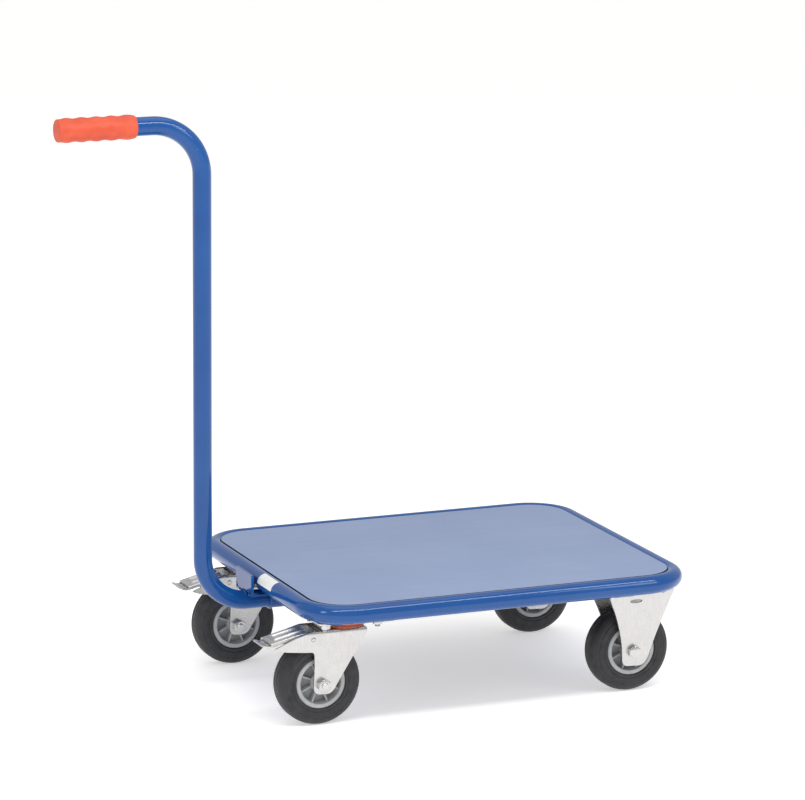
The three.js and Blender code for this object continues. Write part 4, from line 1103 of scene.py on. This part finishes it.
def tab_shell(crown):
    """A short sheet under the pedal's tip, curled up at its end, its corners rounded by a narrowing width."""
    top = crown - 13.8 - PEDAL_SHEET - 0.3
    line = even_line([[-60.5, top + 3.2], [-76.5, top - 0.6], [-81, top - 0.8], [-89.5, top + 2.4]], 5, 30)
    to_tip = np.clip((-line[:, 0] - 83.5) / 6, 0, 1)
    half = 19 - 4.5 * (1 - np.sqrt(1 - 0.98 * to_tip**2))
    across = np.linspace(-1, 1, 41)
    y = half[:, None] * across[None]
    x = np.broadcast_to(line[:, 0:1], y.shape)
    ridges = 0.9 * np.clip(1 - np.abs(np.abs(y) - 8) / 2.4, 0, 1)
    ridges = ridges * np.clip((-x - 64) / 6, 0, 1) * np.clip((x + 87) / 4, 0, 1)
    z = line[:, 1:2] + ridges
    return np.stack([x, y, z], axis=-1).reshape(-1, 3), grid_faces(*y.shape)


def thicken(piece, thickness):
    """The sheet's thickness, below and inside the modelled face."""
    solid = piece.modifiers.new("sheet", "SOLIDIFY")
    solid.thickness = thickness / 1000
    solid.offset = -1
    solid.use_even_offset = True
    return piece


one_pedal = pedal_shell(crown_level)
one_tab = tab_shell(crown_level)
pin_profile = softened([
    [0, -27.0], [2.3, -27.0], [3.0, -26.2], [3.0, 26.2], [2.3, 27.0], [0, 27.0],
], [0, 0.5, 0.4, 0.4, 0.5, 0], 3, closed=False)
one_pin = turned(pin_profile, 32, closed=False)
for tag in ("rear_right", "rear_left"):
    axle = axle_of(tag)
    pedal = add_piece(
        f"tread_plate_{tag}", moved(one_pedal, axle), pressed_zinc, f"brake_{tag}", [f"brake_pedal_{tag}"],
        crease=60, outwards=False,
    )
    ease_edges(thicken(pedal, PEDAL_SHEET), 0.4, 2, 50)
    tab = add_piece(
        f"toe_tab_{tag}", moved(one_tab, axle), pressed_zinc, f"brake_{tag}", [f"brake_release_tab_{tag}"],
        crease=60, outwards=False,
    )
    ease_edges(thicken(tab, PEDAL_SHEET), 0.5, 2, 50)
    finish_node(f"brake_shoe_{tag}", pressed_zinc, 0.6)
    pin = moved(one_pin, axle + [PIN_X, 0, PIN_Z])
    add_piece(f"brake_rivet_{tag}", pin, turned_zinc, f"swivel_{tag}", [f"brake_pin_{tag}"])


# ---------------------------------------------------------------------------
# Studio
# A pale floor, soft light from above and both sides, and the camera.


def studio_light(name, place, target, size, power):
    """A rectangular area light at a place in metres, turned towards the target."""
    light = bpy.data.lights.new(name, "AREA")
    light.shape = "RECTANGLE"
    light.size, light.size_y = size
    light.energy = power
    lamp = bpy.data.objects.new(name, light)
    lamp.location = place
    turn = mathutils.Vector(target) - mathutils.Vector(place)
    lamp.rotation_euler = turn.to_track_quat("-Z", "Y").to_euler()
    bpy.context.scene.collection.objects.link(lamp)


studio_light("overhead", (0.2, 0.5, 3.4), (0, 0, 0.2), (2.8, 2.2), 16)
studio_light("high strip", (0.1, -1.0, 1.85), (0.1, -0.25, 0.18), (2.6, 0.24), 18)
studio_light("near window", (1.9, -2.4, 1.9), (0, 0, 0.3), (0.7, 0.9), 7)
studio_light("rear window", (-2.4, -1.0, 1.5), (-0.1, -0.1, 0.3), (0.5, 0.9), 7)

floor_mesh = bpy.data.meshes.new("floor")
floor_mesh.from_pydata([(-30, -30, 0), (30, -30, 0), (30, 30, 0), (-30, 30, 0)], [], [(0, 1, 2, 3)])
floor = bpy.data.objects.new("floor", floor_mesh)
bpy.context.scene.collection.objects.link(floor)
pale, pale_tree, pale_shader = new_material("pale floor", (0.93, 0.925, 0.92), Roughness=0.7)
pale_shader.inputs["Emission Color"].default_value = (1.0, 0.985, 0.975, 1)
pale_shader.inputs["Emission Strength"].default_value = 0.455
floor_mesh.materials.append(pale)

world = bpy.data.worlds.new("studio")
bpy.context.scene.world = world
world.use_nodes = True
world.node_tree.nodes["Background"].inputs["Color"].default_value = (1, 1, 1, 1)
world.node_tree.nodes["Background"].inputs["Strength"].default_value = 0.585
bpy.context.scene.view_settings.view_transform = "Standard"

camera_data = bpy.data.cameras.new("camera")
camera_data.lens = 195.12
camera_data.sensor_width = 36
camera_data.clip_end = 100
camera = bpy.data.objects.new("camera", camera_data)
bpy.context.scene.collection.objects.link(camera)
turn = (
    mathutils.Matrix.Rotation(-0.396019, 4, "Z")
    @ mathutils.Matrix.Rotation(math.pi / 2 - 0.215214, 4, "X")
    @ mathutils.Matrix.Rotation(0.0076727, 4, "Z")
)
camera.matrix_world = mathutils.Matrix.Translation((-2.31086, -5.71826, 1.77375)) @ turn
bpy.context.scene.camera = camera
